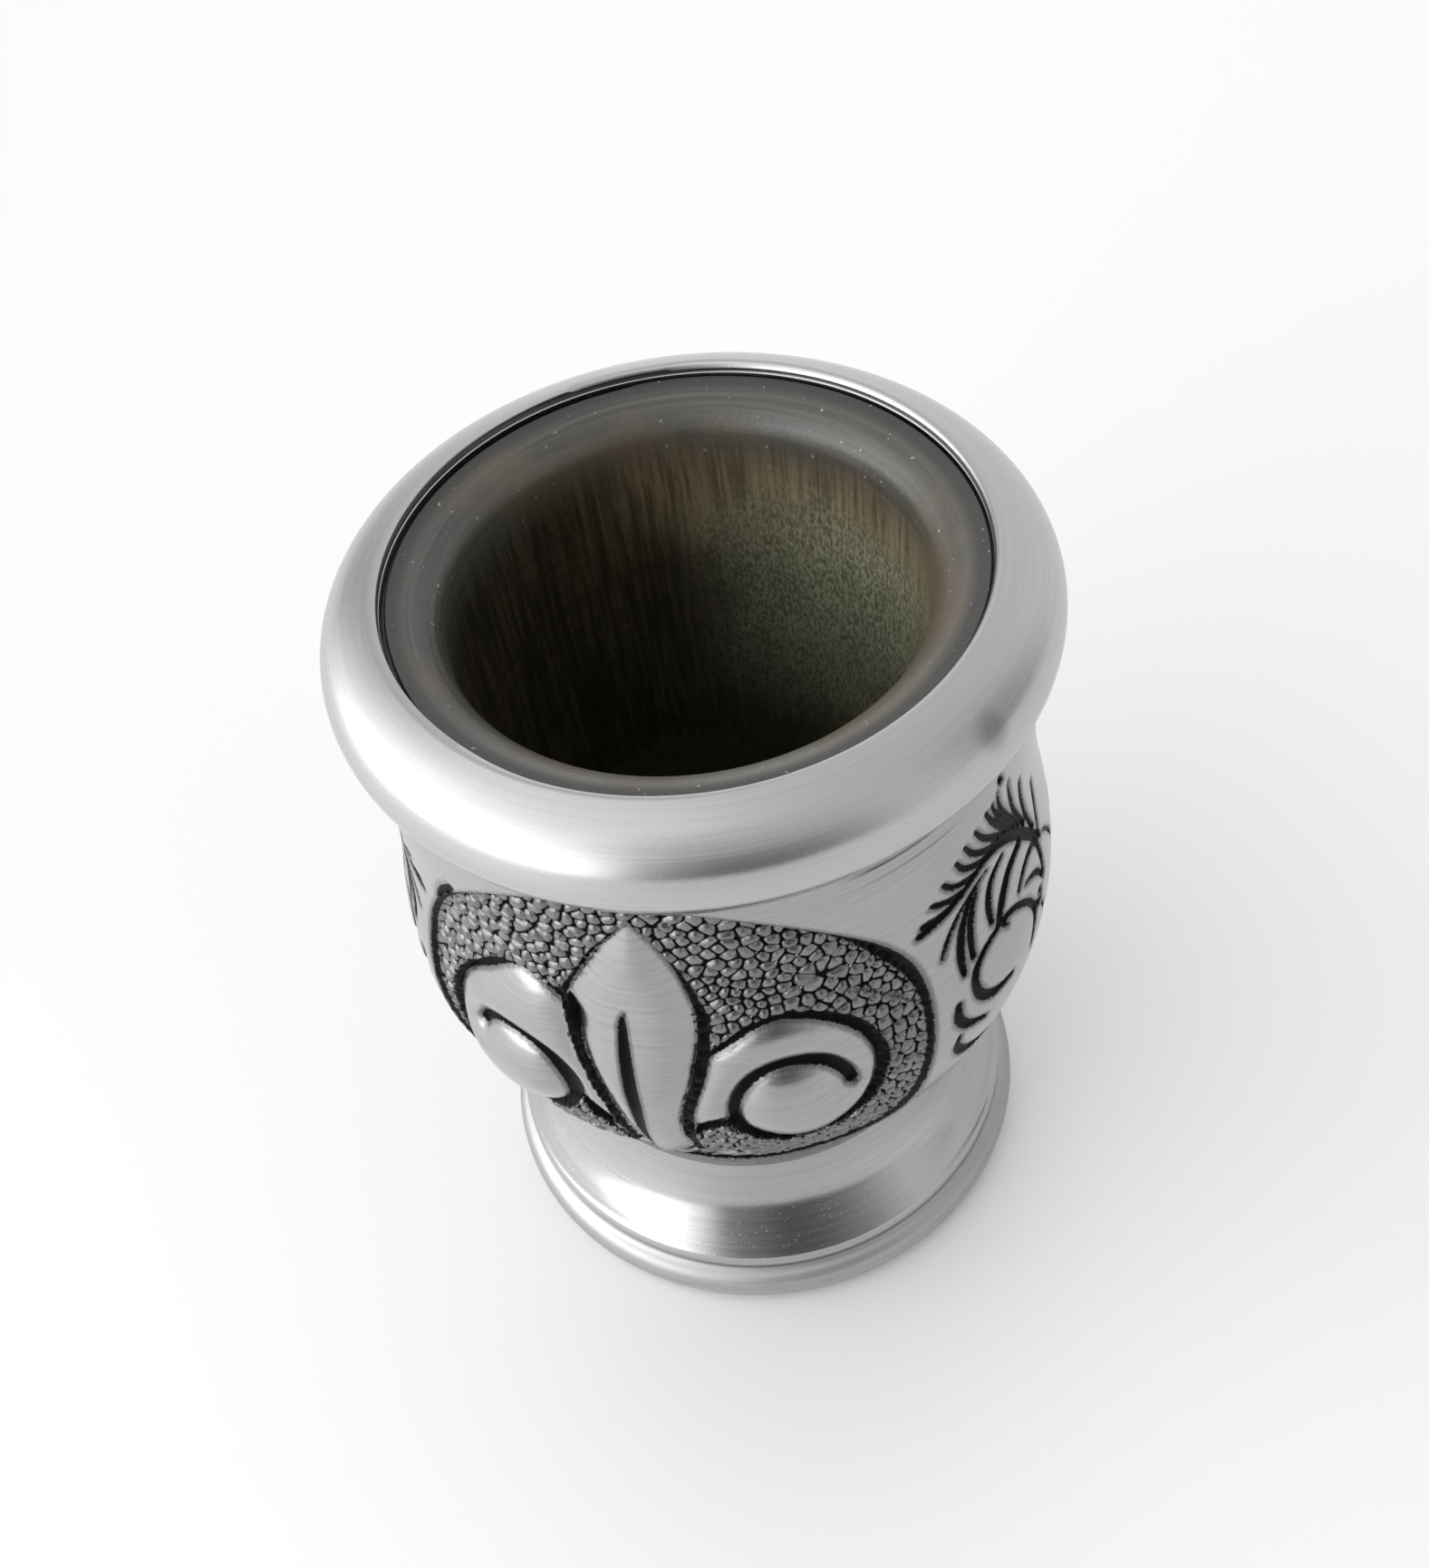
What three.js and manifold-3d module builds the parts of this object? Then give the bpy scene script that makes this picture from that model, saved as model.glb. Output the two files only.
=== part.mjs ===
// Mate cup: a turned hardwood cup clad in spun aluminium, chased with a fleur-de-lis on front and back.
// Millimetres, +Z up, origin at the centre of the foot's underside. The front faces -Y.

import * as THREE from "three";
import { mergeVertices } from "three/addons/utils/BufferGeometryUtils.js";
import Module from "manifold-3d";

// Heights above the table
const cupHeight = 103.5; // inner edge of the collar, the highest line of the cup
const shoulderHeight = 80; // where the belly has drawn in to the neck
const bellyHeight = 56; // widest line of the body
const waistHeight = 22.5; // joint between body and foot

// Outside radii
const neckRadius = 37.2;
const bellySwell = 2.5; // how far the belly stands out past the neck
const waistRadius = 27.4;
const footRadius = 35.8;

// Rim collar
const collarOverhang = 2.8; // how far the collar stands out past the neck
const collarWidth = 7.6; // from its widest line in to the mouth
const collarCrown = 7.1; // from its widest line up to the mouth's edge
const collarSkirt = 4.8; // from its widest line down to its lower edge
const collarSheet = 1;
const skirtEdge = 0.7; // thickness of the turned-in lower edge
const hemDepth = 1.9; // how far the inner edge is turned down into the wood
const collarLap = 2.2; // how far the jacket runs up behind the skirt

// Body jacket and its chased medallions
const jacketSheet = 1.5;
const groundDepth = 0.8; // sunk ground behind the figure
const grooveDepth = 0.95; // chisel grooves on the figure
const chiselWidth = 1.3;
const medallionTurn = -20; // degrees round from the front
const medallionRise = 2.5; // centre of the medallion above the belly line
const medallionHalfWidth = 29;
const medallionHalfHeight = 32;

// Fleur-de-lis, measured from the medallion's centre
const petalTip = 29.5;
const petalShoulder = 14;
const petalHalfWidth = 8;
const petalRoot = -14.2;
const petalRootHalfWidth = 3.2;
const veinTop = 16.5;
const veinFoot = -13;
const lobeTop = 13.3;
const lobeReach = 25.6; // outermost point of a side lobe
const lobeStart = 8.5; // where a side lobe parts from the middle petal
const lobeRoot = -6.4;
const bossAcross = 16.8; // centre of the round boss that a side lobe curls about
const bossDown = 3.4;
const bossRadius = 7.7;
const bossEnd = -170; // where a side lobe's edge leaves its boss, degrees round from level
const curlRadius = 6.9; // middle of the chisel groove round the boss
const curlFrom = 10; // the groove's ends, degrees round from level
const curlTo = 215;
const bandTop = -15.2;
const bandDepth = 2.6;
const bandHalfWidth = 9.5;
const tailGap = 1;
const tailLength = 9;
const tailHalfWidth = 2.7;
const sideTailWidth = 4;
const tailSpread = 7; // how far the side tails swing out

// Foot
const footSheet = 1.2;
const spigotLength = 3; // upright collar of the foot inside the jacket
const beadHeight = 6.4;
const beadStart = 62; // where the bead leaves the nick above it, degrees above level
const nickDepth = 0.45;
const nickHeight = 0.9;
const stepHeight = 1.5; // short upright band above the nick
const rollRadius = 1.2; // rounded edge between that band and the flare
const rollStart = 50; // where the flare runs into that edge, degrees above level

// Base disc and the hem that holds it
const discSheet = 1.2;
const hemSheet = 1;
const hemWidth = 3.2; // flat ring that the cup stands on
const discLap = 1; // how far the hem reaches under the disc

// Wooden cup
const lipDrop = 1.5; // wood below the collar's edge at the mouth
const lipWidth = 5.3; // sloped lip from the collar in to the bowl's wall
const lipFall = 2;
const lipRound = 1.6;
const bowlDepth = 72.5; // from the collar's edge down to the bottom of the bowl
const bowlRise = 23; // height of the rounded bottom
const bowlDraft = 1.4; // the bowl's wall draws in by this much on the way down

const fitClearance = 0.15; // between each skin and what it sits on

// Fineness of the curves
const turnSegments = 40;
const longSteps = 6; // long curves of a profile, and the bead
const shortSteps = 3; // small roundings of a profile
const outlineSteps = 5; // curves of the chased outlines
const ovalSteps = 32;

// Lengths of the curves' handles, as shares of the spans that they bridge
const crownHandles = { across: 0.53, drop: 0.15, lift: 0.56 };
const skirtHandles = { down: 0.5, out: 0.14, up: 0.3 };
const bellyHandles = { waist: 0.17, belly: 0.5 };
const shoulderHandles = { belly: 0.34, neck: 0.5 };
const flareHandles = { waist: 0.45, across: 0.42, up: 0.3 };
const bowlHandles = { wall: 0.6, floor: 0.55 };
const petalHandles = { tipAcross: 0.42, tipDown: 0.26, side: 0.42, rootUp: 0.34 };
const lobeHandles = { start: 0.15, crest: 0.5, level: 0.2 };
const veinHandle = 0.33;
const tailHandles = { start: 0.25, tip: 0.5, under: 0.33, narrow: 0.5 };
const roundHandle = 0.56; // makes a quarter of a circle
const straightDown = -90;
const halfTurn = 180;

// Worked out from the sizes above
const bellyRadius = neckRadius + bellySwell;
const collarRadius = neckRadius + collarOverhang;
const mouthRadius = collarRadius - collarWidth;
const collarMiddle = cupHeight - collarCrown;
const skirtHeight = collarMiddle - collarSkirt;
const skirtBore = neckRadius + fitClearance;
const hemBottom = cupHeight - hemDepth;
const hemOutside = mouthRadius + collarSheet;
const jacketTop = skirtHeight + collarLap;
const jacketFoot = waistHeight + fitClearance;
const spigotTop = waistHeight + spigotLength;
const spigotRadius = waistRadius - jacketSheet - fitClearance;
const spigotBore = spigotRadius - footSheet;
const beadRadius = beadHeight / 2;
const beadCentre = new THREE.Vector2(footRadius - beadRadius, beadRadius);
const beadStartAngle = THREE.MathUtils.degToRad(beadStart);
const bandRadius = beadCentre.x + beadRadius * Math.cos(beadStartAngle);
const nickFoot = beadCentre.y + beadRadius * Math.sin(beadStartAngle);
const bandTopHeight = nickFoot + nickHeight + stepHeight;
const hemRadius = beadCentre.x - hemWidth;
const seatRadius = hemRadius + discLap;
const woodFloor = hemSheet + discSheet + 2 * fitClearance;
const medallionHeight = bellyHeight + medallionRise;

const point = (x, y) => new THREE.Vector2(x, y);
const curve = (steps, ...corners) => new THREE.CubicBezierCurve(...corners).getPoints(steps);

// Part of a circle between two angles in degrees
function arc(steps, centre, radius, fromAngle, toAngle) {
  return Array.from({ length: steps + 1 }, (_, i) => {
    const angle = THREE.MathUtils.degToRad(THREE.MathUtils.lerp(fromAngle, toAngle, i / steps));
    return point(centre.x + radius * Math.cos(angle), centre.y + radius * Math.sin(angle));
  });
}

// A line moved by a distance towards the right of its run, which is the inner side of the outlines below
function beside(line, distance) {
  return line.map((here, i) => {
    const before = line[Math.max(i - 1, 0)];
    const after = line[Math.min(i + 1, line.length - 1)];
    const run = after.clone().sub(before).normalize();
    return point(here.x + run.y * distance, here.y - run.x * distance);
  });
}

// A closed profile of radius and height turned about the axis
function turned(profile) {
  const around = THREE.ShapeUtils.isClockWise(profile) ? [...profile].reverse() : profile;
  return new THREE.LatheGeometry([...around, around[0]], turnSegments).rotateX(Math.PI / 2);
}

// Outside of the collar, from the mouth's edge over the crown and down to the skirt's lower edge
const crown = curve(
  longSteps,
  point(mouthRadius, cupHeight),
  point(mouthRadius + crownHandles.across * collarWidth, cupHeight - crownHandles.drop * collarCrown),
  point(collarRadius, collarMiddle + crownHandles.lift * collarCrown),
  point(collarRadius, collarMiddle),
);
const skirtFoot = point(skirtBore + skirtEdge, skirtHeight);
const skirt = curve(
  shortSteps,
  point(collarRadius, collarMiddle),
  point(collarRadius, collarMiddle - skirtHandles.down * collarSkirt),
  point(skirtFoot.x + skirtHandles.out * collarSkirt, skirtFoot.y + skirtHandles.up * collarSkirt),
  skirtFoot,
);
const collarOutside = [...crown, ...skirt.slice(1)];

// Outside of the body, from the neck down over the belly to the waist
const shoulderSpan = shoulderHeight - bellyHeight;
const bellySpan = bellyHeight - jacketFoot;
const shoulder = curve(
  shortSteps,
  point(neckRadius, shoulderHeight),
  point(neckRadius, shoulderHeight - shoulderHandles.neck * shoulderSpan),
  point(bellyRadius, bellyHeight + shoulderHandles.belly * shoulderSpan),
  point(bellyRadius, bellyHeight),
);
const belly = curve(
  longSteps,
  point(bellyRadius, bellyHeight),
  point(bellyRadius, bellyHeight - bellyHandles.belly * bellySpan),
  point(waistRadius, jacketFoot + bellyHandles.waist * bellySpan),
  point(waistRadius, jacketFoot),
);
const bodyOutside = [point(neckRadius, jacketTop), ...shoulder, ...belly.slice(1)];

// Outside of the foot, from the waist down the flare to the upright band above the bead
const roll = arc(shortSteps, point(bandRadius - rollRadius, bandTopHeight), rollRadius, rollStart, 0);
const flareWidth = roll[0].x - waistRadius;
const flareRise = waistHeight - roll[0].y;
const flare = curve(
  longSteps,
  point(waistRadius, waistHeight),
  point(waistRadius, waistHeight - flareHandles.waist * flareRise),
  point(roll[0].x - flareHandles.across * flareWidth, roll[0].y + flareHandles.up * flareRise),
  roll[0],
);

// Turned hardwood cup: the outside fills the skins, and the bowl is open at the mouth
function woodCup() {
  const lipEdge = mouthRadius - fitClearance;
  const lipHeight = cupHeight - lipDrop;
  const throat = point(mouthRadius - lipWidth, lipHeight - lipFall);
  const bowlFloor = cupHeight - bowlDepth;
  const bowlSide = point(throat.x - bowlDraft, bowlFloor + bowlRise);
  const hemGroove = hemOutside + fitClearance;
  const footInset = footSheet + fitClearance;
  const jacketInset = jacketSheet + fitClearance;
  const stemTop = spigotTop + fitClearance;
  const inFoot = beside(flare, footInset).filter((p) => p.y < waistHeight - footInset);
  const inJacket = beside(bodyOutside, jacketInset).filter((p) => p.y > stemTop);
  const inCollar = beside(crown, collarSheet + fitClearance).filter((p) => p.x > hemGroove);
  return turned([
    point(0, woodFloor),
    point(seatRadius - fitClearance, woodFloor),
    point(bandRadius - footInset, nickFoot),
    ...inFoot.reverse(),
    point(spigotBore - fitClearance, waistHeight - footInset),
    point(spigotBore - fitClearance, stemTop),
    ...inJacket.reverse(),
    point(neckRadius - jacketInset, jacketTop + fitClearance),
    ...inCollar.reverse(),
    point(hemGroove, inCollar.at(-1).y),
    point(hemGroove, hemBottom - fitClearance),
    point(lipEdge, hemBottom - fitClearance),
    point(lipEdge, lipHeight),
    ...curve(
      shortSteps,
      point(throat.x + lipRound, throat.y + (lipFall * lipRound) / lipWidth),
      point(throat.x + lipRound * (1 - roundHandle), throat.y),
      point(throat.x, throat.y - lipRound * (1 - roundHandle)),
      point(throat.x, throat.y - lipRound),
    ),
    ...curve(
      longSteps,
      bowlSide,
      point(bowlSide.x, bowlSide.y - bowlHandles.wall * bowlRise),
      point(bowlHandles.floor * bowlSide.x, bowlFloor),
      point(0, bowlFloor),
    ),
  ]);
}

// Half-round collar of sheet metal: crown, skirt over the jacket's neck, hem down into the wood
function rimCollar() {
  const inside = beside(collarOutside, collarSheet);
  const inSkirt = inside.filter((p) => p.y < collarMiddle && p.x > skirtBore && p.y > skirtHeight);
  const inCrown = inside.filter((p) => p.y >= collarMiddle && p.x > hemOutside);
  return turned([
    ...collarOutside,
    point(skirtBore, skirtHeight),
    point(skirtBore, Math.min(inSkirt.at(-1).y, skirtHeight + skirtEdge)),
    ...inSkirt.reverse(),
    ...inCrown.reverse(),
    point(hemOutside, inCrown.at(-1).y),
    point(hemOutside, hemBottom),
    point(mouthRadius, hemBottom),
  ]);
}

// Flared pedestal foot: upright collar inside the jacket, ledge, flare, band, nick, bead and hem
function footShell() {
  const inside = beside(flare, footSheet).filter((p) => p.y < waistHeight - footSheet);
  return turned([
    point(spigotRadius, spigotTop),
    point(spigotRadius, waistHeight),
    ...flare,
    ...roll.slice(1),
    point(bandRadius, nickFoot + nickHeight),
    point(bandRadius - nickDepth, nickFoot + nickHeight / 2),
    ...arc(longSteps, beadCentre, beadRadius, beadStart, straightDown),
    point(hemRadius, 0),
    point(hemRadius, hemSheet),
    point(seatRadius, hemSheet),
    point(seatRadius, woodFloor),
    point(bandRadius - footSheet, nickFoot),
    ...inside.reverse(),
    point(spigotBore, waistHeight - footSheet),
    point(spigotBore, spigotTop),
  ]);
}

// Flat disc that closes the underside, held between the wood and the foot's hem
function baseDisc() {
  const rim = seatRadius - fitClearance;
  const underside = hemSheet + fitClearance;
  return turned([
    point(0, underside),
    point(rim, underside),
    point(rim, underside + discSheet),
    point(0, underside + discSheet),
  ]);
}

// Joins and cuts of solids
const wasm = await Module();
wasm.setup();

function solid(geometry) {
  const bare = geometry.clone();
  bare.deleteAttribute("normal");
  bare.deleteAttribute("uv");
  const merged = mergeVertices(bare);
  const triVerts = new Uint32Array(merged.index.array);
  const vertProperties = merged.attributes.position.array;
  return new wasm.Manifold(new wasm.Mesh({ numProp: 3, vertProperties, triVerts }));
}

function geometryOf(body) {
  const { vertProperties, triVerts } = body.getMesh();
  const geometry = new THREE.BufferGeometry();
  geometry.setAttribute("position", new THREE.BufferAttribute(vertProperties, 3));
  geometry.setIndex(new THREE.BufferAttribute(triVerts, 1));
  geometry.computeVertexNormals();
  return geometry;
}

// A flat outline pushed out from the axis through the body, at the medallion's height
function pushedOut(outline, turn) {
  const depth = bellyRadius + collarOverhang;
  const geometry = new THREE.ExtrudeGeometry(new THREE.Shape(outline), { depth, bevelEnabled: false });
  geometry.rotateX(Math.PI / 2);
  geometry.translate(0, 0, medallionHeight);
  return solid(geometry.rotateZ(THREE.MathUtils.degToRad(turn)));
}

// The other half of a symmetrical outline, run backwards
const mirror = (line) => line.map((p) => point(-p.x, p.y)).reverse();

// Right side of the pointed middle petal: from its tip to its shoulder, and on to its root
const tipSpan = petalTip - petalShoulder;
const rootSpan = petalShoulder - petalRoot;
const petalShoulderSide = curve(
  outlineSteps,
  point(0, petalTip),
  point(petalHandles.tipAcross * petalHalfWidth, petalTip - petalHandles.tipDown * tipSpan),
  point(petalHalfWidth, petalShoulder + petalHandles.side * tipSpan),
  point(petalHalfWidth, petalShoulder),
);
const petalRootSide = curve(
  outlineSteps,
  point(petalHalfWidth, petalShoulder),
  point(petalHalfWidth, petalShoulder - petalHandles.side * rootSpan),
  point(petalRootHalfWidth, petalRoot + petalHandles.rootUp * rootSpan),
  point(petalRootHalfWidth, petalRoot),
);

function petalOutline() {
  const right = [...petalShoulderSide, ...petalRootSide.slice(1)];
  return [...right, ...mirror(right)];
}

// Right side lobe: up from its root beside the petal, over its crest, and round under its boss
function lobeOutline() {
  const boss = point(bossAcross, -bossDown);
  const stem = petalRootSide
    .filter((p) => p.y > lobeRoot && p.y < lobeStart)
    .map((p) => point(p.x + chiselWidth, p.y));
  const crest = point(bossAcross, lobeTop);
  const outermost = point(lobeReach, (lobeTop - bossDown) * lobeHandles.level);
  const bossFoot = point(boss.x, boss.y - bossRadius);
  const toCrest = curve(
    outlineSteps,
    point(stem[0].x, lobeStart),
    point(stem[0].x + lobeHandles.start * (crest.x - stem[0].x), crest.y),
    point(crest.x - lobeHandles.crest * (crest.x - stem[0].x), crest.y),
    crest,
  );
  const toOutermost = curve(
    outlineSteps,
    crest,
    point(crest.x + roundHandle * (outermost.x - crest.x), crest.y),
    point(outermost.x, outermost.y + roundHandle * (crest.y - outermost.y)),
    outermost,
  );
  const toBossFoot = curve(
    outlineSteps,
    outermost,
    point(outermost.x, outermost.y - roundHandle * (outermost.y - bossFoot.y)),
    point(bossFoot.x + roundHandle * (outermost.x - bossFoot.x), bossFoot.y),
    bossFoot,
  );
  const underBoss = arc(outlineSteps, boss, bossRadius, straightDown, bossEnd);
  return [
    ...toCrest,
    ...toOutermost.slice(1),
    ...toBossFoot.slice(1),
    ...underBoss.slice(1),
    ...stem.reverse(),
  ];
}

// Chisel groove that curls round the boss of the right side lobe
function curlOutline() {
  const boss = point(bossAcross, -bossDown);
  const outer = arc(2 * outlineSteps, boss, curlRadius + chiselWidth / 2, curlFrom, curlTo);
  const inner = arc(2 * outlineSteps, boss, curlRadius - chiselWidth / 2, curlTo, curlFrom);
  return [...outer, ...inner];
}

// Chisel groove down the middle of the petal, pointed at both ends
function veinOutline() {
  const handle = veinHandle * (veinTop - veinFoot);
  const right = curve(
    outlineSteps,
    point(0, veinTop),
    point(chiselWidth, veinTop - handle),
    point(chiselWidth, veinFoot + handle),
    point(0, veinFoot),
  );
  return [...right, ...mirror(right).slice(1, -1)];
}

// Cross band that ties the petals, with round ends
function bandOutline() {
  const endRadius = bandDepth / 2;
  const end = point(bandHalfWidth - endRadius, bandTop - endRadius);
  const right = arc(outlineSteps, end, endRadius, straightDown + halfTurn, straightDown);
  return [...right, ...mirror(right)];
}

// Tails below the band: an upright one in the middle, and one that swings out to the right
const tailTop = bandTop - bandDepth - tailGap;

function middleTailOutline() {
  const bend = tailTop - tailHandles.tip * tailLength;
  const right = curve(
    outlineSteps,
    point(tailHalfWidth, tailTop),
    point(tailHalfWidth, bend),
    point(tailHandles.narrow * tailHalfWidth, bend),
    point(0, tailTop - tailLength),
  );
  return [...right, ...mirror(right).slice(1)];
}

function sideTailOutline() {
  const innerSide = tailHalfWidth + tailGap;
  const outerSide = innerSide + sideTailWidth;
  const tip = point(outerSide + tailSpread, tailTop - tailHandles.tip * tailLength);
  const swing = tip.x - tailHandles.tip * tailSpread;
  const outer = curve(
    outlineSteps,
    point(outerSide, tailTop),
    point(outerSide, tailTop - tailHandles.start * tailLength),
    point(swing, tip.y),
    tip,
  );
  const inner = curve(
    outlineSteps,
    tip,
    point(swing, tip.y - tailHandles.under * tailLength),
    point(innerSide, tip.y - tailHandles.start * tailLength),
    point(innerSide, tailTop),
  );
  return [...outer, ...inner.slice(1)];
}

// Chased jacket: the ground is sunk round the figure, and the figure is grooved
function bodyJacket() {
  const inside = beside(bodyOutside, jacketSheet);
  const blank = solid(turned([...bodyOutside, ...inside.reverse()]));
  const core = (depth) =>
    solid(turned([point(0, jacketTop), ...beside(bodyOutside, depth), point(0, jacketFoot)]));
  const groundCore = core(groundDepth);
  const grooveCore = core(grooveDepth);
  const oval = new THREE.EllipseCurve(0, 0, medallionHalfWidth, medallionHalfHeight).getPoints(ovalSteps);
  const figure = [
    petalOutline(),
    lobeOutline(),
    mirror(lobeOutline()),
    bandOutline(),
    middleTailOutline(),
    sideTailOutline(),
    mirror(sideTailOutline()),
  ];
  const grooves = [veinOutline(), curlOutline(), mirror(curlOutline())];
  const chased = [medallionTurn, medallionTurn + halfTurn].reduce((jacket, turn) => {
    const prisms = (outlines) => wasm.Manifold.union(outlines.map((outline) => pushedOut(outline, turn)));
    const ground = prisms([oval]).subtract(prisms(figure)).subtract(groundCore);
    return jacket.subtract(ground).subtract(prisms(grooves).subtract(grooveCore));
  }, blank);
  return geometryOf(chased);
}

// Finishes
const wood = { color: 0x4a4331, roughness: 0.55, metalness: 0 };
const satin = { color: 0xc6c7c8, roughness: 0.34, metalness: 1 };
const polished = { color: 0xd2d3d5, roughness: 0.18, metalness: 1 };

// Pieces of the cup, each with its finish
const mate = new THREE.Group();
const pieces = [
  ["wood_cup", woodCup(), wood],
  ["rim_collar", rimCollar(), satin],
  ["body_jacket", bodyJacket(), satin],
  ["foot_shell", footShell(), polished],
  ["base_disc", baseDisc(), satin],
];
pieces.forEach(([name, geometry, finish]) => {
  const mesh = new THREE.Mesh(geometry, new THREE.MeshStandardMaterial(finish));
  mesh.name = name;
  mate.add(mesh);
});

export default mate;
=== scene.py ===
import bpy
import math
import numpy as np
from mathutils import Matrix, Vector
from mathutils.kdtree import KDTree


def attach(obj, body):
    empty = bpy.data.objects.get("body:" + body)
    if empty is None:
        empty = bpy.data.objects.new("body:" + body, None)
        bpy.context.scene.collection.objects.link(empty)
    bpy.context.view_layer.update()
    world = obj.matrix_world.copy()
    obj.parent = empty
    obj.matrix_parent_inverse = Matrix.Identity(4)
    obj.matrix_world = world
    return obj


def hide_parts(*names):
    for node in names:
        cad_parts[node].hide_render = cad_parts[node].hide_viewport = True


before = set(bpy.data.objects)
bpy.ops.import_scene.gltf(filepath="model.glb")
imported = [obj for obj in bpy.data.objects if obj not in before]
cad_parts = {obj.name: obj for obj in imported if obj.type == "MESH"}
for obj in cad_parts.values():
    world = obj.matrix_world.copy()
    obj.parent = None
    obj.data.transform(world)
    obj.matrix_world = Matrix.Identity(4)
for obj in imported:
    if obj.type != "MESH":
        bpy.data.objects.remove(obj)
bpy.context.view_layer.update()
mm = 0.001
print("frame loaded")

# Sizes that several pieces share, in millimetres
cup = {
    "top": 103.5, "mouth": 32.4, "neck": 37.2, "belly": 39.7, "waist": 27.4, "bead": 35.8,
    "shoulderHeight": 80.0, "bellyHeight": 56.0, "waistHeight": 22.5, "gap": 0.15, "widest": 39.99,
}

# Curves and turned pieces


def bend(steps, start, startHandle, endHandle, end):  # points along a curve, without its first point
    points = []
    for i in range(1, steps + 1):
        t = i / steps
        shares = ((1 - t) ** 3, 3 * (1 - t) ** 2 * t, 3 * (1 - t) * t * t, t ** 3)
        spots = (start, startHandle, endHandle, end)
        points.append(tuple(sum(s * p[k] for s, p in zip(shares, spots)) for k in (0, 1)))
    return points


def straight(steps, start, end):
    return [tuple(a + (b - a) * i / steps for a, b in zip(start, end)) for i in range(1, steps + 1)]


def roundBy(steps, centre, radius, fromAngle, toAngle):  # part of a circle, angles in degrees above level
    angles = [math.radians(fromAngle + (toAngle - fromAngle) * i / steps) for i in range(steps + 1)]
    return [(centre[0] + radius * math.cos(a), centre[1] + radius * math.sin(a)) for a in angles]


def turnPiece(name, profile, around):  # draws the profile point by point, then spins it round the axis
    bpy.ops.object.select_all(action="DESELECT")
    bpy.ops.mesh.primitive_plane_add(size=mm)
    piece = bpy.context.object
    piece.name = name
    piece.data.name = name
    bpy.ops.object.mode_set(mode="EDIT")
    bpy.ops.mesh.merge(type="CENTER")  # the plane shrinks to one point
    bpy.ops.transform.translate(value=(profile[0][0] * mm, 0, profile[0][1] * mm))
    for here, there in zip(profile, profile[1:]):
        step = ((there[0] - here[0]) * mm, 0, (there[1] - here[1]) * mm)
        bpy.ops.mesh.extrude_region_move(TRANSFORM_OT_translate={"value": step})
    bpy.ops.mesh.select_all(action="SELECT")
    bpy.ops.mesh.spin(steps=around, angle=2 * math.pi, center=(0, 0, 0), axis=(0, 0, 1))
    bpy.ops.mesh.select_all(action="SELECT")
    bpy.ops.mesh.remove_doubles(threshold=0.002 * mm)
    bpy.ops.mesh.normals_make_consistent(inside=False)
    bpy.ops.object.mode_set(mode="OBJECT")
    return piece


def finishPiece(piece, node, material, angle):
    bpy.ops.object.select_all(action="DESELECT")
    piece.select_set(True)
    bpy.context.view_layer.objects.active = piece
    bpy.ops.object.shade_smooth_by_angle(angle=math.radians(angle))
    piece.data.materials.clear()
    piece.data.materials.append(material)
    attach(piece, "root")
    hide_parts(node)
    print(piece.name, "done,", len(piece.data.polygons), "faces")


def pointsOf(piece):  # in millimetres
    flat = np.empty(len(piece.data.vertices) * 3, np.float32)
    piece.data.vertices.foreach_get("co", flat)
    return flat.reshape(-1, 3).astype(float) / mm


def movePoints(piece, points):
    piece.data.vertices.foreach_set("co", (points * mm).astype(np.float32).ravel())
    piece.data.update()


def turnOf(points):  # degrees round from the front, positive to the right
    return np.degrees(np.arctan2(points[:, 0], -points[:, 1]))


def smoothStep(value):
    t = np.clip(value, 0, 1)
    return t * t * (3 - 2 * t)


# Node trees for materials


def newMaterial(name):
    material = bpy.data.materials.new(name)
    material.use_nodes = True
    return material, material.node_tree, material.node_tree.nodes["Principled BSDF"]


def setUp(tree, kind, **settings):
    node = tree.nodes.new(kind)
    for key, value in settings.items():
        setattr(node, key, value)
    return node


def feed(tree, socket, value):  # a number, a colour or another node's output
    if isinstance(value, (int, float)):
        socket.default_value = value
    elif isinstance(value, tuple):
        socket.default_value = (*value, 1) if len(socket.default_value) == 4 else value
    else:
        tree.links.new(value, socket)


def sumUp(tree, operation, first, second):
    node = setUp(tree, "ShaderNodeMath", operation=operation)
    feed(tree, node.inputs[0], first)
    feed(tree, node.inputs[1], second)
    return node.outputs[0]


def times(tree, first, second):
    return sumUp(tree, "MULTIPLY", first, second)


def plus(tree, first, second):
    return sumUp(tree, "ADD", first, second)


def shaded(colour, share):
    return tuple(share * c for c in colour)


def fade(tree, value, low, high):  # 0 below low, 1 above high, smooth between
    node = setUp(tree, "ShaderNodeMapRange", interpolation_type="SMOOTHSTEP")
    feed(tree, node.inputs["Value"], value)
    feed(tree, node.inputs["From Min"], low)
    feed(tree, node.inputs["From Max"], high)
    return node.outputs["Result"]


def rampOf(tree, value, stops):  # a ramp from (place, grey or colour) stops
    ramp = setUp(tree, "ShaderNodeValToRGB")
    elements = ramp.color_ramp.elements
    while len(elements) < len(stops):
        elements.new(0.5)
    for element, (place, colour) in zip(elements, stops):
        element.position = place
        element.color = (*colour, 1) if isinstance(colour, tuple) else (colour, colour, colour, 1)
    feed(tree, ramp.inputs["Fac"], value)
    return ramp.outputs["Color"]


def blend(tree, factor, first, second):  # mixes two colours
    mix = setUp(tree, "ShaderNodeMix", data_type="RGBA")
    feed(tree, mix.inputs[0], factor)
    feed(tree, mix.inputs[6], first)
    feed(tree, mix.inputs[7], second)
    return mix.outputs[2]


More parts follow.
